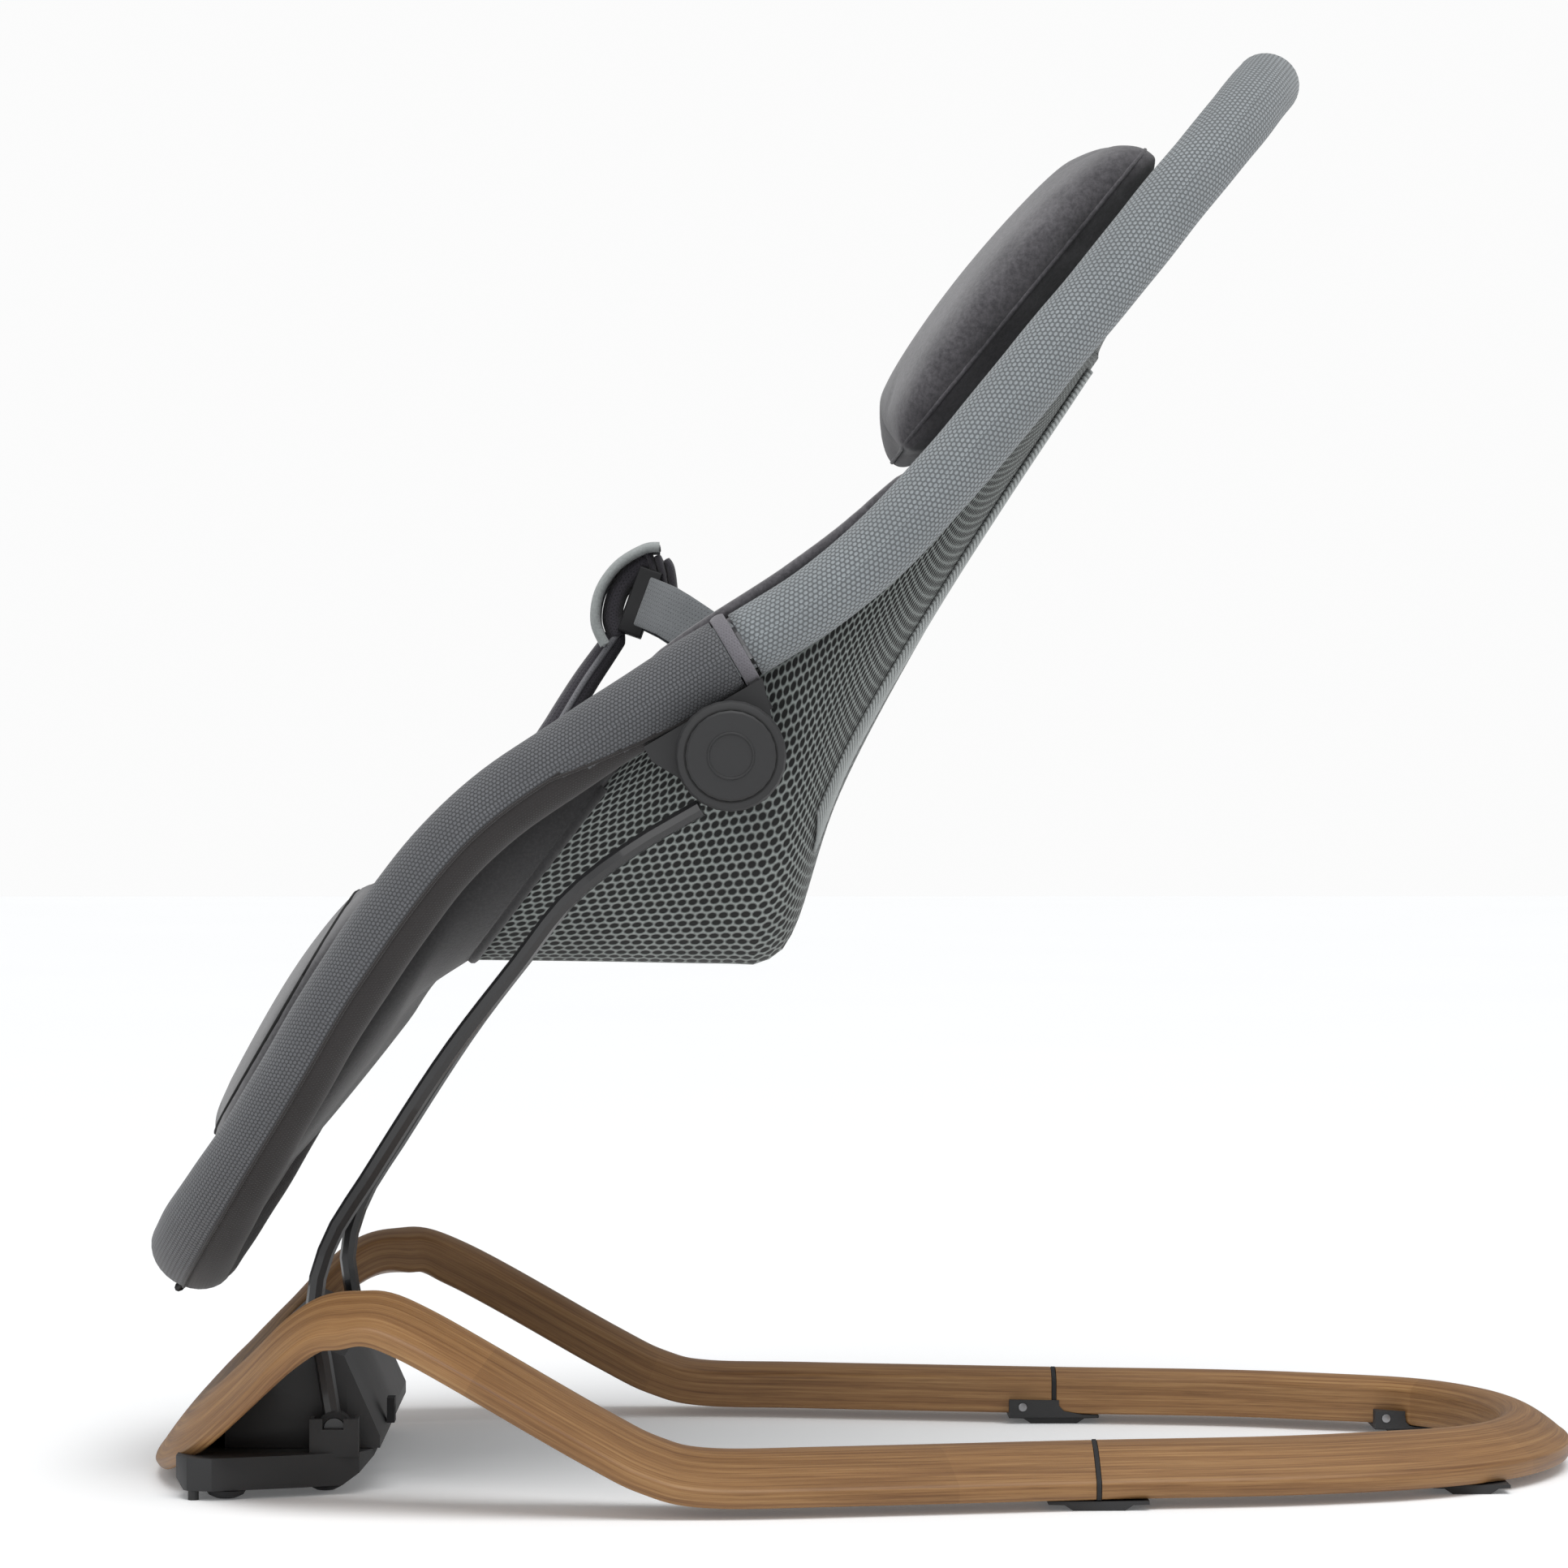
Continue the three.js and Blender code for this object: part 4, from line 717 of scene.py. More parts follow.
# %% Section of the board
def rounded_section():
    half, low, inner, crown, outer = 0.0275, 0.004, 0.0195, 0.0225, 0.009
    pull = 2 * crown - (inner + outer) / 2
    corners = [((half - low, 0), (half, 0), (half, low)),
               ((half, outer - low / 2), (half, outer), (half - low, outer + low / 3)),
               ((half - low, outer + low / 3), (-half * 0.5, pull), (-half + low / 2, inner)),
               ((-half + low / 2, inner), (-half, inner - low / 3), (-half, inner - low)),
               ((-half, low), (-half, 0), (-half + low, 0))]
    out = []
    for number, (a, b, c) in enumerate(corners):
        steps = 14 if number == 2 else 6
        for i in range(steps + 1):
            t = i / steps
            spot = tuple(p * (1 - t) ** 2 + 2 * q * t * (1 - t) + s * t * t for p, q, s in zip(a, b, c))
            if not out or math.dist(spot, out[-1]) > 1e-6:
                out.append(spot)
    return out + [out[0]]


SECTION = rounded_section()
around_section = [0.0]
for a, b in zip(SECTION, SECTION[1:]):
    around_section.append(around_section[-1] + math.dist(a, b))


def smoothstep(value, low, high):
    share = min(max((value - low) / (high - low), 0.0), 1.0)
    return share * share * (3 - 2 * share)


def board_frames(first, last):
    frames, run = [], 0.0
    count = len(plan)
    for i in range(first, last + 1):
        x, along = plan[i % count]
        before, after = plan[(i - 1) % count], plan[(i + 1) % count]
        point = board.at(along) + Vector((x, 0, 0))
        ahead = board.at(after[1]) + Vector((after[0], 0, 0))
        behind = board.at(before[1]) + Vector((before[0], 0, 0))
        up = board.up(along)
        out = (ahead - behind).normalized().cross(up).normalized()
        if out.dot(Vector((x, point.y, 0))) < 0:
            out.negate()
        if frames:
            run += (point - frames[-1][0]).length
        y = point.y - SHIFT
        across = 1 + (35 / 55 - 1) * smoothstep(y, LOOP_REAR - 0.095, LOOP_REAR - 0.015)
        deep = 1 - 0.24 * smoothstep(-0.240 - y, 0, 0.050)
        frames.append((point, out, up, run, across, deep))
    return frames


def wooden_part(name, first, last, keep_behind, node):
    frames = board_frames(first, last)
    count = len(frames) - 1
    rows_ = len(SECTION) - 1

    def place(u, v):
        point, out, up, run, across, deep = frames[round(u * count)]
        a, b = SECTION[round(v * rows_)]
        return point + out * (a * across) + up * (b * deep)

    bm = bmesh.new()
    layer = bm.loops.layers.uv.new("map")
    bmesh.ops.create_grid(bm, x_segments=count, y_segments=rows_, size=0.5)
    for face in bm.faces:
        for loop in face.loops:
            u, v = loop.vert.co.x + 0.5, loop.vert.co.y + 0.5
            loop[layer].uv = (frames[round(u * count)][3], around_section[round(v * rows_)])
    for corner in bm.verts:
        corner.co = place(corner.co.x + 0.5, corner.co.y + 0.5)
    bmesh.ops.remove_doubles(bm, verts=bm.verts, dist=0.00002)
    side = 1 if keep_behind else -1
    cut = Vector((0, JOINT + side * 0.0013, 0))
    bmesh.ops.bisect_plane(bm, geom=bm.verts[:] + bm.edges[:] + bm.faces[:], dist=0.00001,
                           plane_co=cut, plane_no=(0, side, 0), clear_inner=True)
    bmesh.ops.holes_fill(bm, edges=[edge for edge in bm.edges if edge.is_boundary], sides=0)
    bmesh.ops.recalc_face_normals(bm, faces=bm.faces)
    piece = finished(name, bm, oak, "base")
    split = piece.modifiers.new("crease", "EDGE_SPLIT")
    split.split_angle = math.radians(50)
    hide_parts(node)
    return piece


rear_part = wooden_part("rear_board", -4, LEFT_JOINT + 4, True, "rear_rail")
front_part = wooden_part("front_board", LEFT_JOINT - 4, len(plan) + 4, False, "front_rail")
print("boards", [round(v, 3) for v in front_part.dimensions], [round(v, 3) for v in rear_part.dimensions])

# %% [markdown]
# ## The knit sleeves
#
# A sleeve is pulled over each half of the tube, pale at the head and darker at the foot. Cloth
# over foam isn't an even pipe: it is pulled flat in places and gathers a little at the tight
# bends, so the section swells and dips slightly along the way.

# %% Sleeves
SLEEVE_ACROSS, SLEEVE_DEEP, LOWER_DEEP = 0.0155, 0.0162, 0.0176
SLEEVE_GIRTH = 0.100  # of the cloth's own map
TAPE_HALF = 0.0025


def foot_depth(y):
    share = min(max((HUB.y - y - 0.215) / 0.047, 0.0), 1.0)
    return 1 + 0.2 * share * share * (3 - 2 * share)


def gather(run, turn, amount):
    """A small swell of the cloth that waves slowly along the sleeve and round it."""
    wave = math.sin(run * 62 + 2.2 * math.sin(turn)) + 0.6 * math.sin(run * 131 + 3 * turn + 1.0)
    return 1 + amount * wave


def sleeve(name, frames, deep, material, node, growing=False):
    last = len(frames) - 1

    def place(u, v):
        point, out, up, run = frames[round(u * last)]
        turn = 2 * math.pi * v
        swell = gather(run, turn, 0.010)
        tall = deep * (foot_depth(point.y) if growing else 1.0)
        return point + out * (SLEEVE_ACROSS * math.cos(turn) * swell) + up * (tall * math.sin(turn) * swell)

    size = (frames[-1][3], SLEEVE_GIRTH)
    piece = sheet_piece(name, last, 30, place, size, material, closed=True)
    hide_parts(node)
    return piece


upper_frames = ring_frames(ring(JUNCTION - TAPE_HALF - 0.0003, 0, True, 150))
lower_frames = ring_frames(ring(0, JUNCTION + TAPE_HALF + 0.0003, False, 170))
upper_sleeve = sleeve("upper_sleeve", upper_frames, SLEEVE_DEEP, light_knit, "upper_cover")
lower_sleeve = sleeve("lower_sleeve", lower_frames, LOWER_DEEP, dark_knit, "lower_cover", True)
print("sleeves", len(upper_sleeve.data.polygons), len(lower_sleeve.data.polygons), "faces")

# %% [markdown]
# The underside of the lower sleeve is a separate dark strip, sewn on along a seam that shows as
# a fine ridge. The strip takes its own finish on the faces that look down and outwards.

# %% Underside strip and its seam
lower_sleeve.data.materials.append(under_cloth)
STRIP_FROM, STRIP_TO = 198, 345


def strip_share(run):
    whole = lower_frames[-1][3]
    return min(1.0, min(run, whole - run) / 0.10)


uv = lower_sleeve.data.uv_layers[0].data
for face in lower_sleeve.data.polygons:
    middle_u = sum(uv[i].uv[0] for i in face.loop_indices) / len(face.loop_indices)
    middle_v = sum(uv[i].uv[1] for i in face.loop_indices) / len(face.loop_indices)
    turn = middle_v / SLEEVE_GIRTH * 360
    if STRIP_FROM < turn < 270 + (STRIP_TO - 270) * strip_share(middle_u):
        face.material_index = 1


def on_sleeve(frames, turn, deep, proud=0.0, start=0.0, end=1.0, growing=False, bend=None):
    last = len(frames) - 1
    out_points = []
    for i in range(round(start * last), round(end * last) + 1):
        point, out, up, run = frames[i]
        angle = math.radians(bend(run) if bend else turn)
        swell = gather(run, angle, 0.010)
        tall = deep * (foot_depth(point.y) if growing else 1.0)
        spot = point + out * (SLEEVE_ACROSS * math.cos(angle) * swell) + up * (tall * math.sin(angle) * swell)
        normal = (out * math.cos(angle) + up * math.sin(angle)).normalized()
        out_points.append(spot + normal * proud)
    return out_points


seam = tube("underside_seam", on_sleeve(lower_frames, 0, LOWER_DEEP, 0.0002, 0.004, 0.996, True,
                                         lambda run: 270 + (STRIP_TO - 270) * strip_share(run)),
            0.0008, under_cloth, sides=6)
print("strip and seam", seam.name)


# %% Tapes where the sleeves meet
def tape(side):
    sign = 1 if side == "_right" else -1
    places = [JUNCTION + (i / 8 - 0.5) * 0.0070 for i in range(9)]
    near = ring_frames([(sign * oval_half(along), along) for along in places])
    last = len(near) - 1

    def place(u, v):
        point, out, up, run = near[round(u * last)]
        turn = 2 * math.pi * v
        crown = 0.0012 * math.sin(math.pi * min(max(u, 0.02), 0.98)) ** 0.5
        return (point + out * ((SLEEVE_ACROSS + crown) * math.cos(turn))
                + up * ((LOWER_DEEP + crown) * math.sin(turn)))

    piece = sheet_piece("tape" + side, last, 36, place, (0.008, 0.104), tape_knit, closed=True)
    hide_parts("junction_tape" + side)
    return piece


tapes = [tape(side) for side in SIDES]
print("tapes", [round(t.dimensions.y, 4) for t in tapes])

# %% [markdown]
# ## The mesh seat
#
# The seat itself is a trough of eyelet mesh that hangs from the sleeves. Its floor follows one
# line in side view, and its walls lean in a little. The mesh is about two millimetres thick, so
# it is a bent sheet with a Solidify modifier, and its back edge is bound with a ribbed band.

# %% Mesh trough
BUCKET_FLOOR = Line([(0.176, 0.190), (0.127, 0.116), (0.085, 0.047), (0.050, -0.021), (0.030, -0.082),
                     (0.016, -0.098), (-0.004, -0.099), (-0.060, -0.098), (-0.123, -0.097)])
CALF_FLOOR = Line([(-0.126, -0.097), (-0.150, -0.114), (-0.167, -0.138), (-0.200, -0.196),
                   (-0.231, -0.248)])
BUCKET_TOP, BUCKET_FRONT = seat.along(0.158), seat.along(-0.048)
WALL_INSET, FLOOR_TAPER = 0.009, 0.82
MOUTH_SINK = 0.0118
MESH_INSET, MESH_WALL = 0.0012, 0.0022
BAND_START, BAND_LENGTH = 0.02, 0.60  # shares of the way down the mesh
BAND_INNER, BAND_WIDTH = 0.318, 0.040  # shares of the way across it, from the middle
NUDGE = 0.01


def trough_spot(u, v, start, end, floor_line, inset=0.0):
    """u runs down the seat, v runs from one rim across the floor to the other rim."""
    along = start + (end - start) * u
    rim = seat.at(along) - seat.up(along) * MOUTH_SINK * (foot_depth(seat.at(along).y))
    floor = floor_line.at(floor_line.length * u)
    rise = rim - floor
    half = oval_half(along) - WALL_INSET - inset
    side = 1 if v > 0.5 else -1
    w = abs(v - 0.5) * 2
    flat = 0.52
    if w < flat:
        across, height = FLOOR_TAPER * 0.94 * w / flat, 0.0
    else:
        t = (w - flat) / (1 - flat)
        across = FLOOR_TAPER * 0.94 + (1 - FLOOR_TAPER * 0.94) * (1 - (1 - t) ** 2.6) ** 0.9 * 0.72 + 0.28 * (
            1 - FLOOR_TAPER * 0.94) * t
        height = t ** 1.35
    spot = floor + rise * (height * (1 - inset / max(rise.length, 0.01)) + inset / max(rise.length, 0.01))
    spot.x = side * half * across
    return spot


def bucket_place(u, v):
    return trough_spot(u, v, BUCKET_TOP, BUCKET_FRONT, BUCKET_FLOOR, MESH_INSET)


bucket = sheet_piece("mesh_trough", 60, 72, bucket_place, (0.44, 0.72), mesh_knit, wall=MESH_WALL)
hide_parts("mesh_bucket")
print("mesh trough box", [round(v, 3) for v in bucket.dimensions])


# %% Bindings of the mesh
def back_binding(side):
    """The ribbed band beside the corner between the side wall and the back of the mesh."""

    def place(u, v):
        at = BAND_START + BAND_LENGTH * u
        share = 0.5 + side * (BAND_INNER + BAND_WIDTH * v)
        spot = bucket_place(at, share)
        down_seat = bucket_place(min(1.0, at + NUDGE), share) - bucket_place(max(0.0, at - NUDGE), share)
        down_wall = bucket_place(at, share + side * NUDGE) - bucket_place(at, share - side * NUDGE)
        push = down_seat.cross(down_wall).normalized()
        if push.x * side < 0:
            push.negate()
        return spot + push * (0.0012 + 0.0022 * math.sin(math.pi * (0.06 + 0.88 * v)) ** 0.5)

    return place


bindings = [sheet_piece("mesh_binding" + name, 90, 6, back_binding(side), (0.36, 0.030), binding, wall=0.0016)
            for name, side in (("_right", 1), ("_left", -1))]
front_hem = tube("mesh_front_hem", [bucket_place(1.0, 0.04 + 0.92 * i / 80) for i in range(81)], 0.0028,
                 felt)
stretched(bucket_place)
print("bindings", len(bindings), front_hem.name)

# %% [markdown]
# The calf panel is a sheet of dark felt that carries the legs. It hangs from the lower sleeve in
# the same way, in front of the mesh. Behind the head a panel of the pale mesh runs on from the
# top of the trough and flattens out towards the head end.


# %% Calf panel and head panel
def calf_place(u, v):
    end = seat.length - 0.026
    spot = trough_spot(u, v, BUCKET_FRONT + 0.003, end, CALF_FLOOR, 0.0012)
    along = BUCKET_FRONT + 0.003 + (end - BUCKET_FRONT - 0.003) * u
    lift = min(max((u - 0.30) / 0.5, 0.0), 1.0) ** 1.2
    return spot + seat.up(along) * 0.016 * lift * (1 - abs(2 * v - 1) ** 4)


calf = sheet_piece("calf_felt", 44, 60, calf_place, (0.26, 0.62), felt, wall=0.0030)
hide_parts("calf_panel")
foot_hem = tube("calf_foot_hem", [calf_place(1.0, 0.05 + 0.90 * i / 60) for i in range(61)], 0.0024,
                felt)


stretched(calf_place)


def head_place(u, v):
    start = 0.0150
    along = start + (BUCKET_TOP - 0.002 - start) * u ** 1.4
    width = oval_half(along, 0.0115)
    sag = -0.004 - 0.010 * math.sin(math.pi * v) * math.sin(math.pi * min(1.0, u * 1.1) * 0.9)
    flat = seat.at(along) + seat.up(along) * sag + Vector(((v - 0.5) * 2 * width, 0, 0))
    return flat.lerp(bucket_place(0, v), smoothstep(u, 0.50, 1.0))


head_cloth = sheet_piece("head_mesh", 30, 50, head_place, (0.16, 0.34), mesh_knit, wall=MESH_WALL)
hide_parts("head_panel")
stretched(head_place)
print("calf and head panels", [round(v, 3) for v in calf.dimensions])

# %% [markdown]
# ## Pads
#
# The leg pad and the head pillow are filled cloth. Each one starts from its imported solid: a copy
# is remeshed into even faces, blown up a little by Blender's cloth with pressure, and held back
# so that it can't swell into its neighbours. Then one subdivision smooths it. The liner is thin,
# so it is a sheet with a wall, set a little way inside the mesh.


# %% Pressure helper
def filled(node, name, voxel, pressure, cap, material, shrink=0.0):
    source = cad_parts[node]
    bm = bmesh.new()
    bm.from_mesh(source.data)
    bmesh.ops.remove_doubles(bm, verts=bm.verts, dist=0.00002)
    bmesh.ops.subdivide_edges(bm, edges=bm.edges, cuts=1)
    if shrink:
        for corner in bm.verts:
            corner.co -= corner.normal * shrink
    piece = finished(name, bm, material, "seat")
    for modifier in ("REMESH", "CORRECTIVE_SMOOTH"):
        made = piece.modifiers.new(modifier.lower(), modifier)
        if modifier == "REMESH":
            made.mode = "VOXEL"
            made.voxel_size = voxel
        else:
            made.factor = 0.8
            made.iterations = 8
            made.use_only_smooth = True
    bake(piece)
    rest = [corner.co.copy() for corner in piece.data.vertices]
    cloth = piece.modifiers.new("cloth", "CLOTH")
    cloth.settings.use_pressure = True
    cloth.settings.uniform_pressure_force = pressure
    cloth.settings.effector_weights.gravity = 0
    cloth.settings.quality = 4
    scene = bpy.context.scene
    for step in range(1, 16):
        scene.frame_set(step)
    bake(piece)
    scene.frame_set(1)
    for corner, start in zip(piece.data.vertices, rest):
        move = corner.co - start
        if move.length > cap:
            corner.co = start + move * (cap / move.length)
    for face in piece.data.polygons:
        face.use_smooth = True
    rounder = piece.modifiers.new("rounder", "SUBSURF")
    rounder.levels = 1
    rounder.render_levels = 1
    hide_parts(node)
    return piece


def bake(piece):
    graph = bpy.context.evaluated_depsgraph_get()
    mesh = bpy.data.meshes.new_from_object(piece.evaluated_get(graph), depsgraph=graph)
    piece.modifiers.clear()
    piece.data = mesh


LINER_INSET, LINER_THICK = 0.0105, 0.0050
LINER_END, LINER_SIDE = 0.03, 0.04  # shares of the mesh that stay free at each end and side


def liner_place(u, v):
    down = LINER_END + (1 - 2 * LINER_END) * u
    across = LINER_SIDE + (1 - 2 * LINER_SIDE) * v
    return trough_spot(down, across, BUCKET_TOP, BUCKET_FRONT, BUCKET_FLOOR, LINER_INSET)


liner_pad = sheet_piece("seat_liner", 60, 72, liner_place, (0.42, 0.50), liner, wall=LINER_THICK)
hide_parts("seat_pad")
leg_pad = filled("leg_pad", "leg_cushion", 0.005, 3.0, 0.005, dark_melange, 0.001)
pillow = filled("headrest_pillow", "head_pillow", 0.005, 4.0, 0.007, charcoal, 0.001)
print("pads", [len(p.data.vertices) for p in (liner_pad, leg_pad, pillow)])


# %% [markdown]
# Both pads have a corded seam all round, where its top cloth meets its side band. A plane that lies
# along the seat cuts a copy of the pad, and the cut line becomes the cord's path.


# %% Corded seams
def seam_loop(piece, spot, normal):
    bm = bmesh.new()
    graph = bpy.context.evaluated_depsgraph_get()
    bm.from_mesh(piece.evaluated_get(graph).to_mesh())
    cut = bmesh.ops.bisect_plane(bm, geom=bm.verts[:] + bm.edges[:] + bm.faces[:], dist=0.00001,
                                 plane_co=spot, plane_no=normal)
    edges = {item for item in cut["geom_cut"] if isinstance(item, bmesh.types.BMEdge)}
    links = {}
    for edge in edges:
        for corner, other in (edge.verts, reversed(edge.verts)):
            links.setdefault(corner, []).append(other)
    loops = []
    while links:
        start = next(iter(links))
        path, here, before = [start], start, None
        while True:
            nexts = [c for c in links.get(here, []) if c is not before and (c in links or c is start)]
            nexts = [c for c in nexts if c is start or c not in path]
            if not nexts or nexts[0] is start:
                break
            before, here = here, nexts[0]
            path.append(here)
        for corner in path:
            links.pop(corner, None)
        loops.append([corner.co.copy() for corner in path])
    bm.free()
    return max(loops, key=len)


def corded(piece, spot, normal, radius, material, name, spacing=0.006):
    path = seam_loop(piece, spot, normal)
    total = sum((b - a).length for a, b in zip(path, path[1:] + path[:1]))
    count = max(24, round(total / spacing))
    even, travelled, want = [], 0.0, 0.0
    for a, b in zip(path, path[1:] + path[:1]):
        step = (b - a).length
        while want <= travelled + step and len(even) < count:
            even.append(a.lerp(b, (want - travelled) / max(step, 1e-9)))
            want += total / count
        travelled += step
    soft = [(even[i - 1] + even[i] * 2 + even[(i + 1) % len(even)]) / 4 for i in range(len(even))]
    return tube(name, soft + [soft[0]], radius, material, sides=8)


def along_seat(along, lift):
    return seat.at(along) + seat.up(along) * lift, seat.up(along)


pillow_low, pillow_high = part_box("headrest_pillow")
PILLOW_AT = seat.along((pillow_low.y + pillow_high.y) / 2 - HUB.y + 0.01)
spot, way = along_seat(PILLOW_AT, 0.026)
pillow_cord = corded(pillow, spot, way, 0.0011, charcoal, "pillow_cord")
spot, way = along_seat(seat.along(-0.195), 0.020)
# The leg pad's two seam cords are painted shadow: near-black lines for the shade in its seam grooves.
leg_cords = [corded(leg_pad, spot + way * lift, way, 0.0010, painted_groove_shadow, "leg_cord" + name)
             for name, lift in (("_low", -0.004), ("_high", 0.003))]
print("corded seams", pillow_cord.name, len(leg_cords))

# %% [markdown]
# ## The harness
#
# A crotch strap comes up from the seat to a buckle, a pale padded cover wraps over the buckle,
# and two straps run out to the sides. Straps are flat woven bands: the side straps keep the shape
# of their imported solids with softened edges, and the crotch strap and the cover are bands along
# a line, with a rounded cord along each edge.

# %% Straps
def strap_from(node, name, material):
    """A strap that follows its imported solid, with smoothed corners."""
    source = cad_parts[node]
    bm = bmesh.new()
    bm.from_mesh(source.data)
    bmesh.ops.remove_doubles(bm, verts=bm.verts, dist=0.00002)
    edges = [e for e in bm.edges if e.calc_length() > 0.008]
    bmesh.ops.subdivide_edges(bm, edges=edges, cuts=3, use_grid_fill=True)
    layer = bm.loops.layers.uv.new("map")
    for face in bm.faces:
        for loop in face.loops:
            spot = loop.vert.co
            loop[layer].uv = (spot.x, spot.y * 0.5 + spot.z)
    piece = finished(name, bm, material, "seat")
    bevel = piece.modifiers.new("edge", "BEVEL")
    bevel.width = 0.0008
    bevel.segments = 2
    bevel.limit_method = "ANGLE"
    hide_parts(node)
    return piece


waists = [strap_from("waist_strap" + side, "waist_webbing" + side, strap_grey)
          for side in SIDES]
print("waist straps", [w.name for w in waists])


# %% [markdown]
# The strap between the legs is padded: it is thick where it leaves the seat and thin at the
# buckle, with a grey cord down each edge. The pale cover wraps over the front of the buckle, and
# behind it three short loops of dark webbing carry the side straps.

# %% Padded strap, buckle cover and loops
def hub_spots(points):
    return [Vector((0, HUB.y + y, HUB.z + z)) for y, z in points]


def lengthwise(points):
    flat = spline(points, 12)
    return hub_spots([(spot.x, spot.y) for spot in flat])


def padded_band(name, points, half_width, thick, material, ends=0.5):
    """A band that follows a line in side view, with a crowned section and soft ends."""
    path = lengthwise(points)
    last = len(path) - 1
    runs = [0.0]
    for a, b in zip(path, path[1:]):
        runs.append(runs[-1] + (b - a).length)

    def place(u, v):
        i = round(u * last)
        run = (path[min(i + 1, last)] - path[max(i - 1, 0)]).normalized()
        up = Vector((0, run.z, -run.y))
        turn = 2 * math.pi * v
        c, s = math.cos(turn), math.sin(turn)
        side = math.copysign(abs(c) ** 0.4, c)
        lift = math.copysign(abs(s) ** 0.8, s)
        end = min(1.0, min(u, 1 - u) * 8 + ends)
        return path[i] + Vector((half_width * side * (0.9 + 0.1 * end), 0, 0)) + up * (thick(u) * lift * end)

    piece = sheet_piece(name, last, 32, place, (runs[-1], 4 * half_width), material, closed=True)
    return piece, path


crotch, crotch_path = padded_band(
    "crotch_strap_pad", [(-0.095, -0.077), (-0.097, -0.052), (-0.098, -0.026), (-0.095, -0.004),
                         (-0.084, 0.016), (-0.072, 0.036), (-0.061, 0.052), (-0.054, 0.062)],
    0.016, lambda u: 0.0098 - 0.0044 * u, webbing)
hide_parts("crotch_strap")
for side, sign in (("_right", 1), ("_left", -1)):
    tube("crotch_cord" + side, [spot + Vector((sign * 0.0160, 0, 0)) for spot in crotch_path[2:-2]], 0.0016,
         piping_grey, sides=8)

cover, cover_path = padded_band(
    "buckle_wrap", [(-0.061, 0.054), (-0.066, 0.066), (-0.064, 0.081), (-0.055, 0.094), (-0.042, 0.102),
                    (-0.034, 0.103)],
    0.022, lambda u: 0.0022, cover_grey)
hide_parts("buckle_cover")
for side, sign in (("_right", 1), ("_left", -1)):
    tube("cover_edge" + side, [spot + Vector((sign * 0.0222, 0, 0)) for spot in cover_path[1:-1]], 0.0026,
         binding, sides=10)
lining, _ = padded_band(
    "buckle_lining", [(-0.0550, 0.0590), (-0.0580, 0.0680), (-0.0555, 0.0800), (-0.0485, 0.0905),
                      (-0.0400, 0.0965)],
    0.018, lambda u: 0.0050, webbing, 0.7)
for number in range(3):
    back = number * 0.0044
    padded_band("strap_loop_%d" % number,
                [(-0.0405 + back, 0.101 - number * 0.002), (-0.0380 + back, 0.093), (-0.0365 + back, 0.082),
                 (-0.0360 + back, 0.071 - number * 0.002)],
                0.019 - 0.001 * number, lambda u: 0.0023, webbing)
print("buckle dressed", crotch.name, cover.name)

# %% [markdown]
# The liner is bound with a dark cord that lifts a little above the sleeve on each side, and the
# lower sleeve closes at the foot end with a short black zip.

# %% Liner edge and foot zip
for side, sign in (("_right", 1), ("_left", -1)):
    path = []
    for i in range(61):
        y = -0.030 + 0.122 * i / 60
        along = seat.along(y)
        rise = 0.0135 + 0.0050 * math.sin(math.pi * i / 60) ** 0.5
        path.append(seat.at(along) + seat.up(along) * rise
                    + Vector((sign * (oval_half(along) - 0.0100), 0, 0)))
    tube("liner_edge" + side, path, 0.0030, charcoal, sides=10)
zip_path = on_sleeve(lower_frames, 350, LOWER_DEEP, 0.0004, 0.478, 0.522, True)
foot_zip = tube("foot_zip", zip_path, 0.0034, black_plastic, sides=10, flat=0.7)
print("liner edges and", foot_zip.name)

# %% [markdown]
# ## Small moulded details
#
# The hub is a ring with a round cap in it, and a fine dark ring of painted shadow shows where they
# meet. The cap carries a plain raised ring, and the feet are held by screws.

# %% Details
def torus(name, centre, axis, radius, thick, material, body):
    """A fine ring, spun from a small circle."""
    bm = bmesh.new()
    bmesh.ops.create_circle(bm, cap_ends=False, segments=8, radius=thick)
    for corner in bm.verts:
        corner.co = Vector((corner.co.x + radius, 0, corner.co.y))
    bmesh.ops.spin(bm, geom=bm.verts[:] + bm.edges[:], cent=(0, 0, 0), axis=(0, 0, 1), dvec=(0, 0, 0),
                   angle=2 * math.pi, steps=64, use_merge=True, use_duplicate=False)
    turn = Vector((0, 0, 1)).rotation_difference(Vector(axis)).to_matrix()
    for corner in bm.verts:
        corner.co = turn @ corner.co + Vector(centre)
    bmesh.ops.recalc_face_normals(bm, faces=bm.faces)
    return finished(name, bm, material, body)


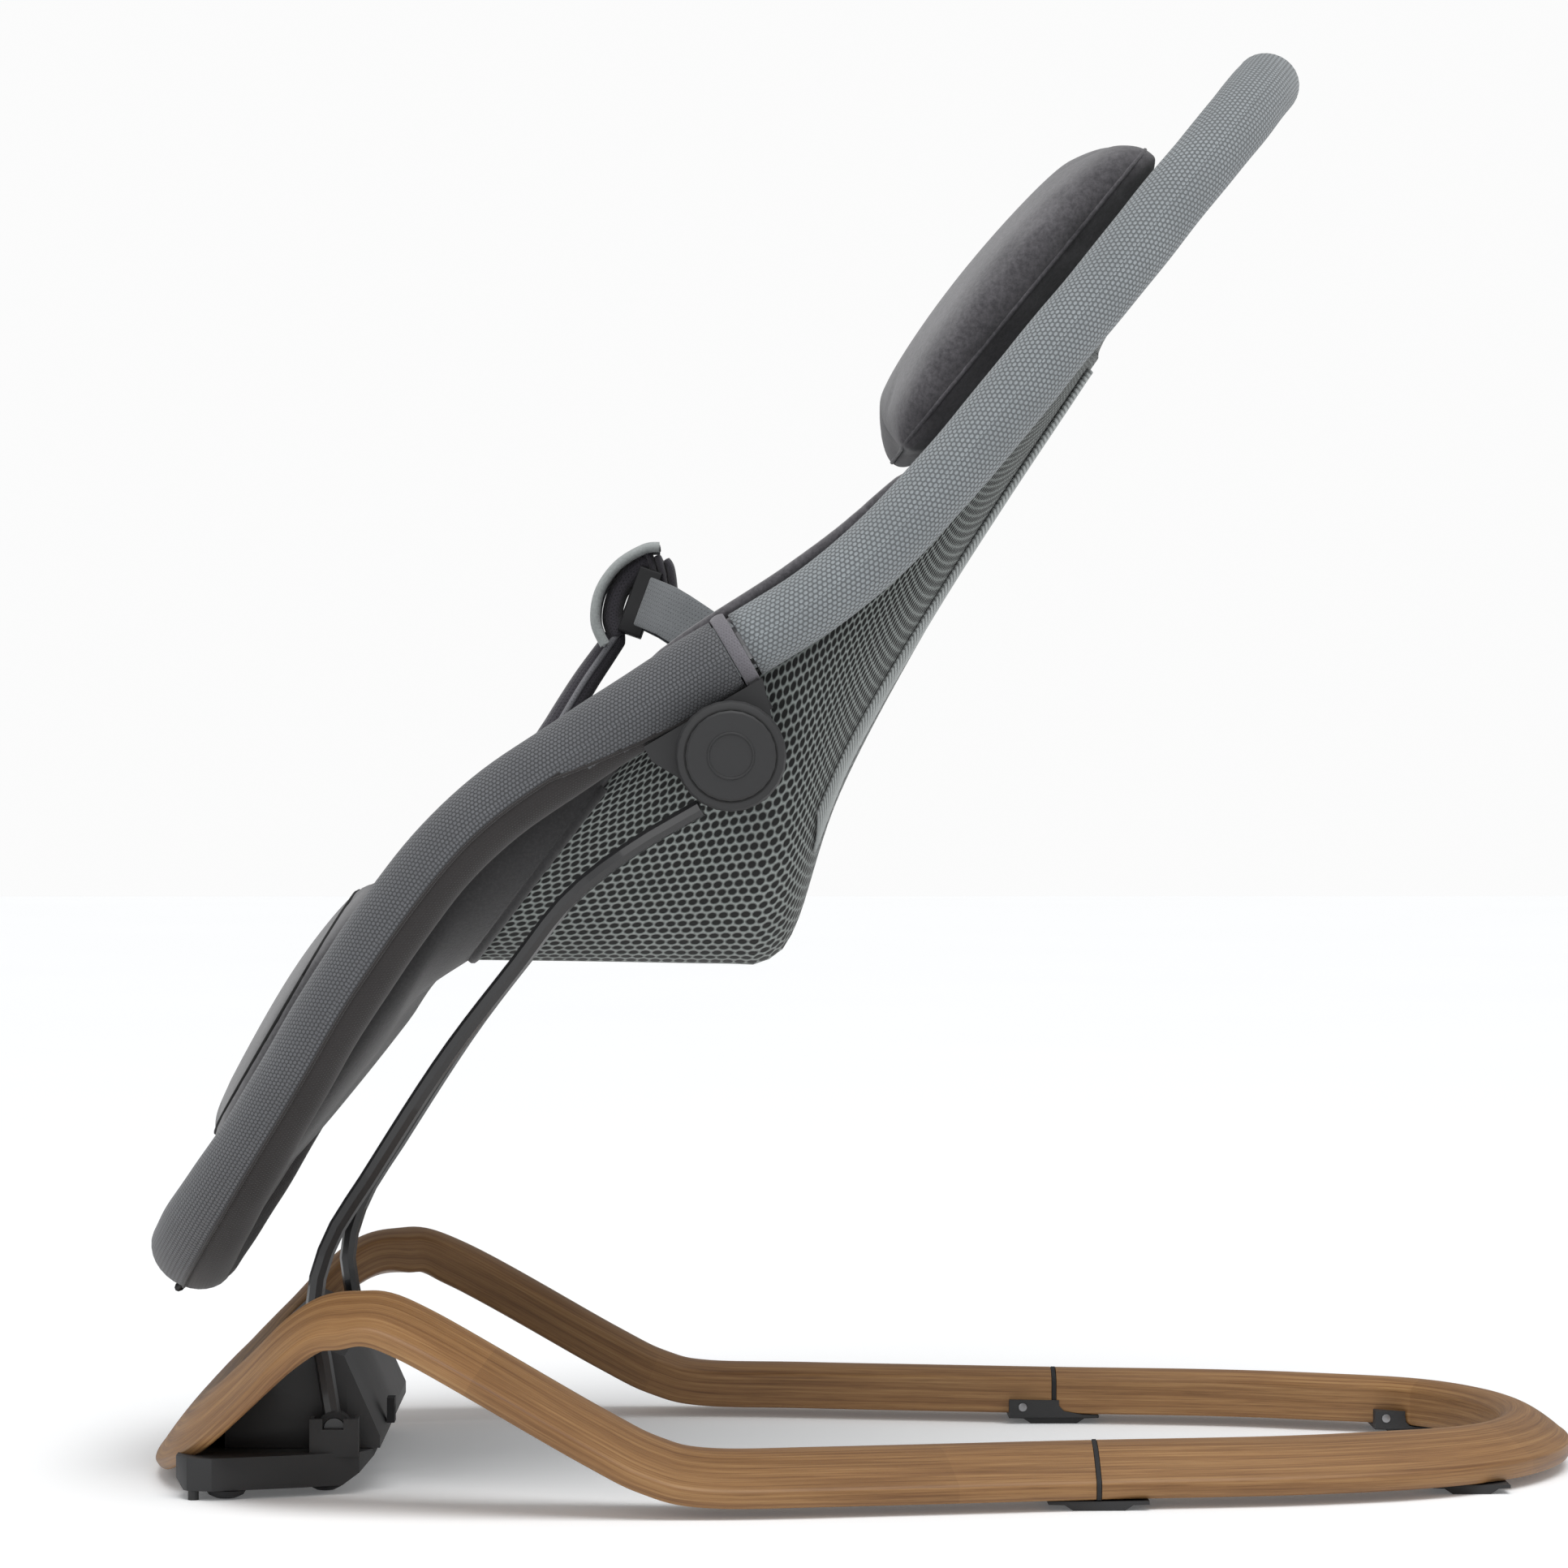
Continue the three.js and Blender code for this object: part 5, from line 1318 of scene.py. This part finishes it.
def disc(name, centre, axis, radius, thick, material, body, chamfer=0.0004, sides=40):
    """A small round moulding with a softened edge."""
    bm = bmesh.new()
    bmesh.ops.create_cone(bm, cap_ends=True, segments=sides, radius1=radius, radius2=radius, depth=thick)
    edges = [e for e in bm.edges if len(e.link_faces) == 2 and e.calc_face_angle() > 1.0]
    bmesh.ops.bevel(bm, geom=edges, offset=chamfer, offset_type="OFFSET", affect="EDGES", segments=2,
                    profile=0.5, material=-1)
    turn = Vector((0, 0, 1)).rotation_difference(Vector(axis)).to_matrix()
    for corner in bm.verts:
        corner.co = turn @ corner.co + Vector(centre)
    piece = finished(name, bm, material, body)
    split = piece.modifiers.new("crease", "EDGE_SPLIT")
    split.split_angle = math.radians(40)
    return piece


for side, sign in (("_right", 1), ("_left", -1)):
    low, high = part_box("hub_housing" + side)
    face = sign * max(abs(low.x), abs(high.x))
    # A near-black ring of painted shadow, for the shade in the gap between the hub's ring and cap.
    torus("hub_line" + side, (face, HUB.y, HUB.z), (sign, 0, 0), 0.0213, 0.0005, painted_groove_shadow, "rocker")
    low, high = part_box("hub_button" + side)
    face = sign * max(abs(low.x), abs(high.x))
    torus("hub_mark" + side, (face, HUB.y, HUB.z), (sign, 0, 0), 0.0105, 0.0006, anthracite,
          "hub_button" + side)
for node in both("mid_foot", "rear_foot"):
    low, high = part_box(node)
    inner = low.x if low.x > 0 else high.x
    toward = 1 if low.x > 0 else -1
    middle = (low.y + high.y) / 2
    for shift in (-0.35, 0.35):
        place = (inner - toward * 0.0001, middle + shift * (high.y - low.y), 0.0088)
        disc("screw_%s_%s" % (node, "a" if shift < 0 else "b"), place, (-toward, 0, 0), 0.0022, 0.0010,
             steel, "base", 0.0002, 16)
print("rings, marks and screws made")

# %% Floor
bm = bmesh.new()
bmesh.ops.create_grid(bm, x_segments=1, y_segments=1, size=12)
floor_finish = Finish("pale_floor", (0.86, 0.87, 0.88), 0.7)
floor_cloud = floor_finish.noise(1.5, 2)
floor_finish.color(floor_finish.ramp(floor_cloud, [(0.3, (0.92, 0.925, 0.93)), (0.7, (0.93, 0.935, 0.94))]))
floor_shader = floor_finish.material.node_tree.nodes["Principled BSDF"]
floor_shader.inputs["Emission Color"].default_value = (0.95, 0.96, 0.97, 1)
floor_shader.inputs["Emission Strength"].default_value = 0.10
floor_mesh = bpy.data.meshes.new("floor")
bm.to_mesh(floor_mesh)
bm.free()
floor_mesh.materials.append(floor_finish.material)
floor = bpy.data.objects.new("floor", floor_mesh)
bpy.context.scene.collection.objects.link(floor)
print("floor laid")
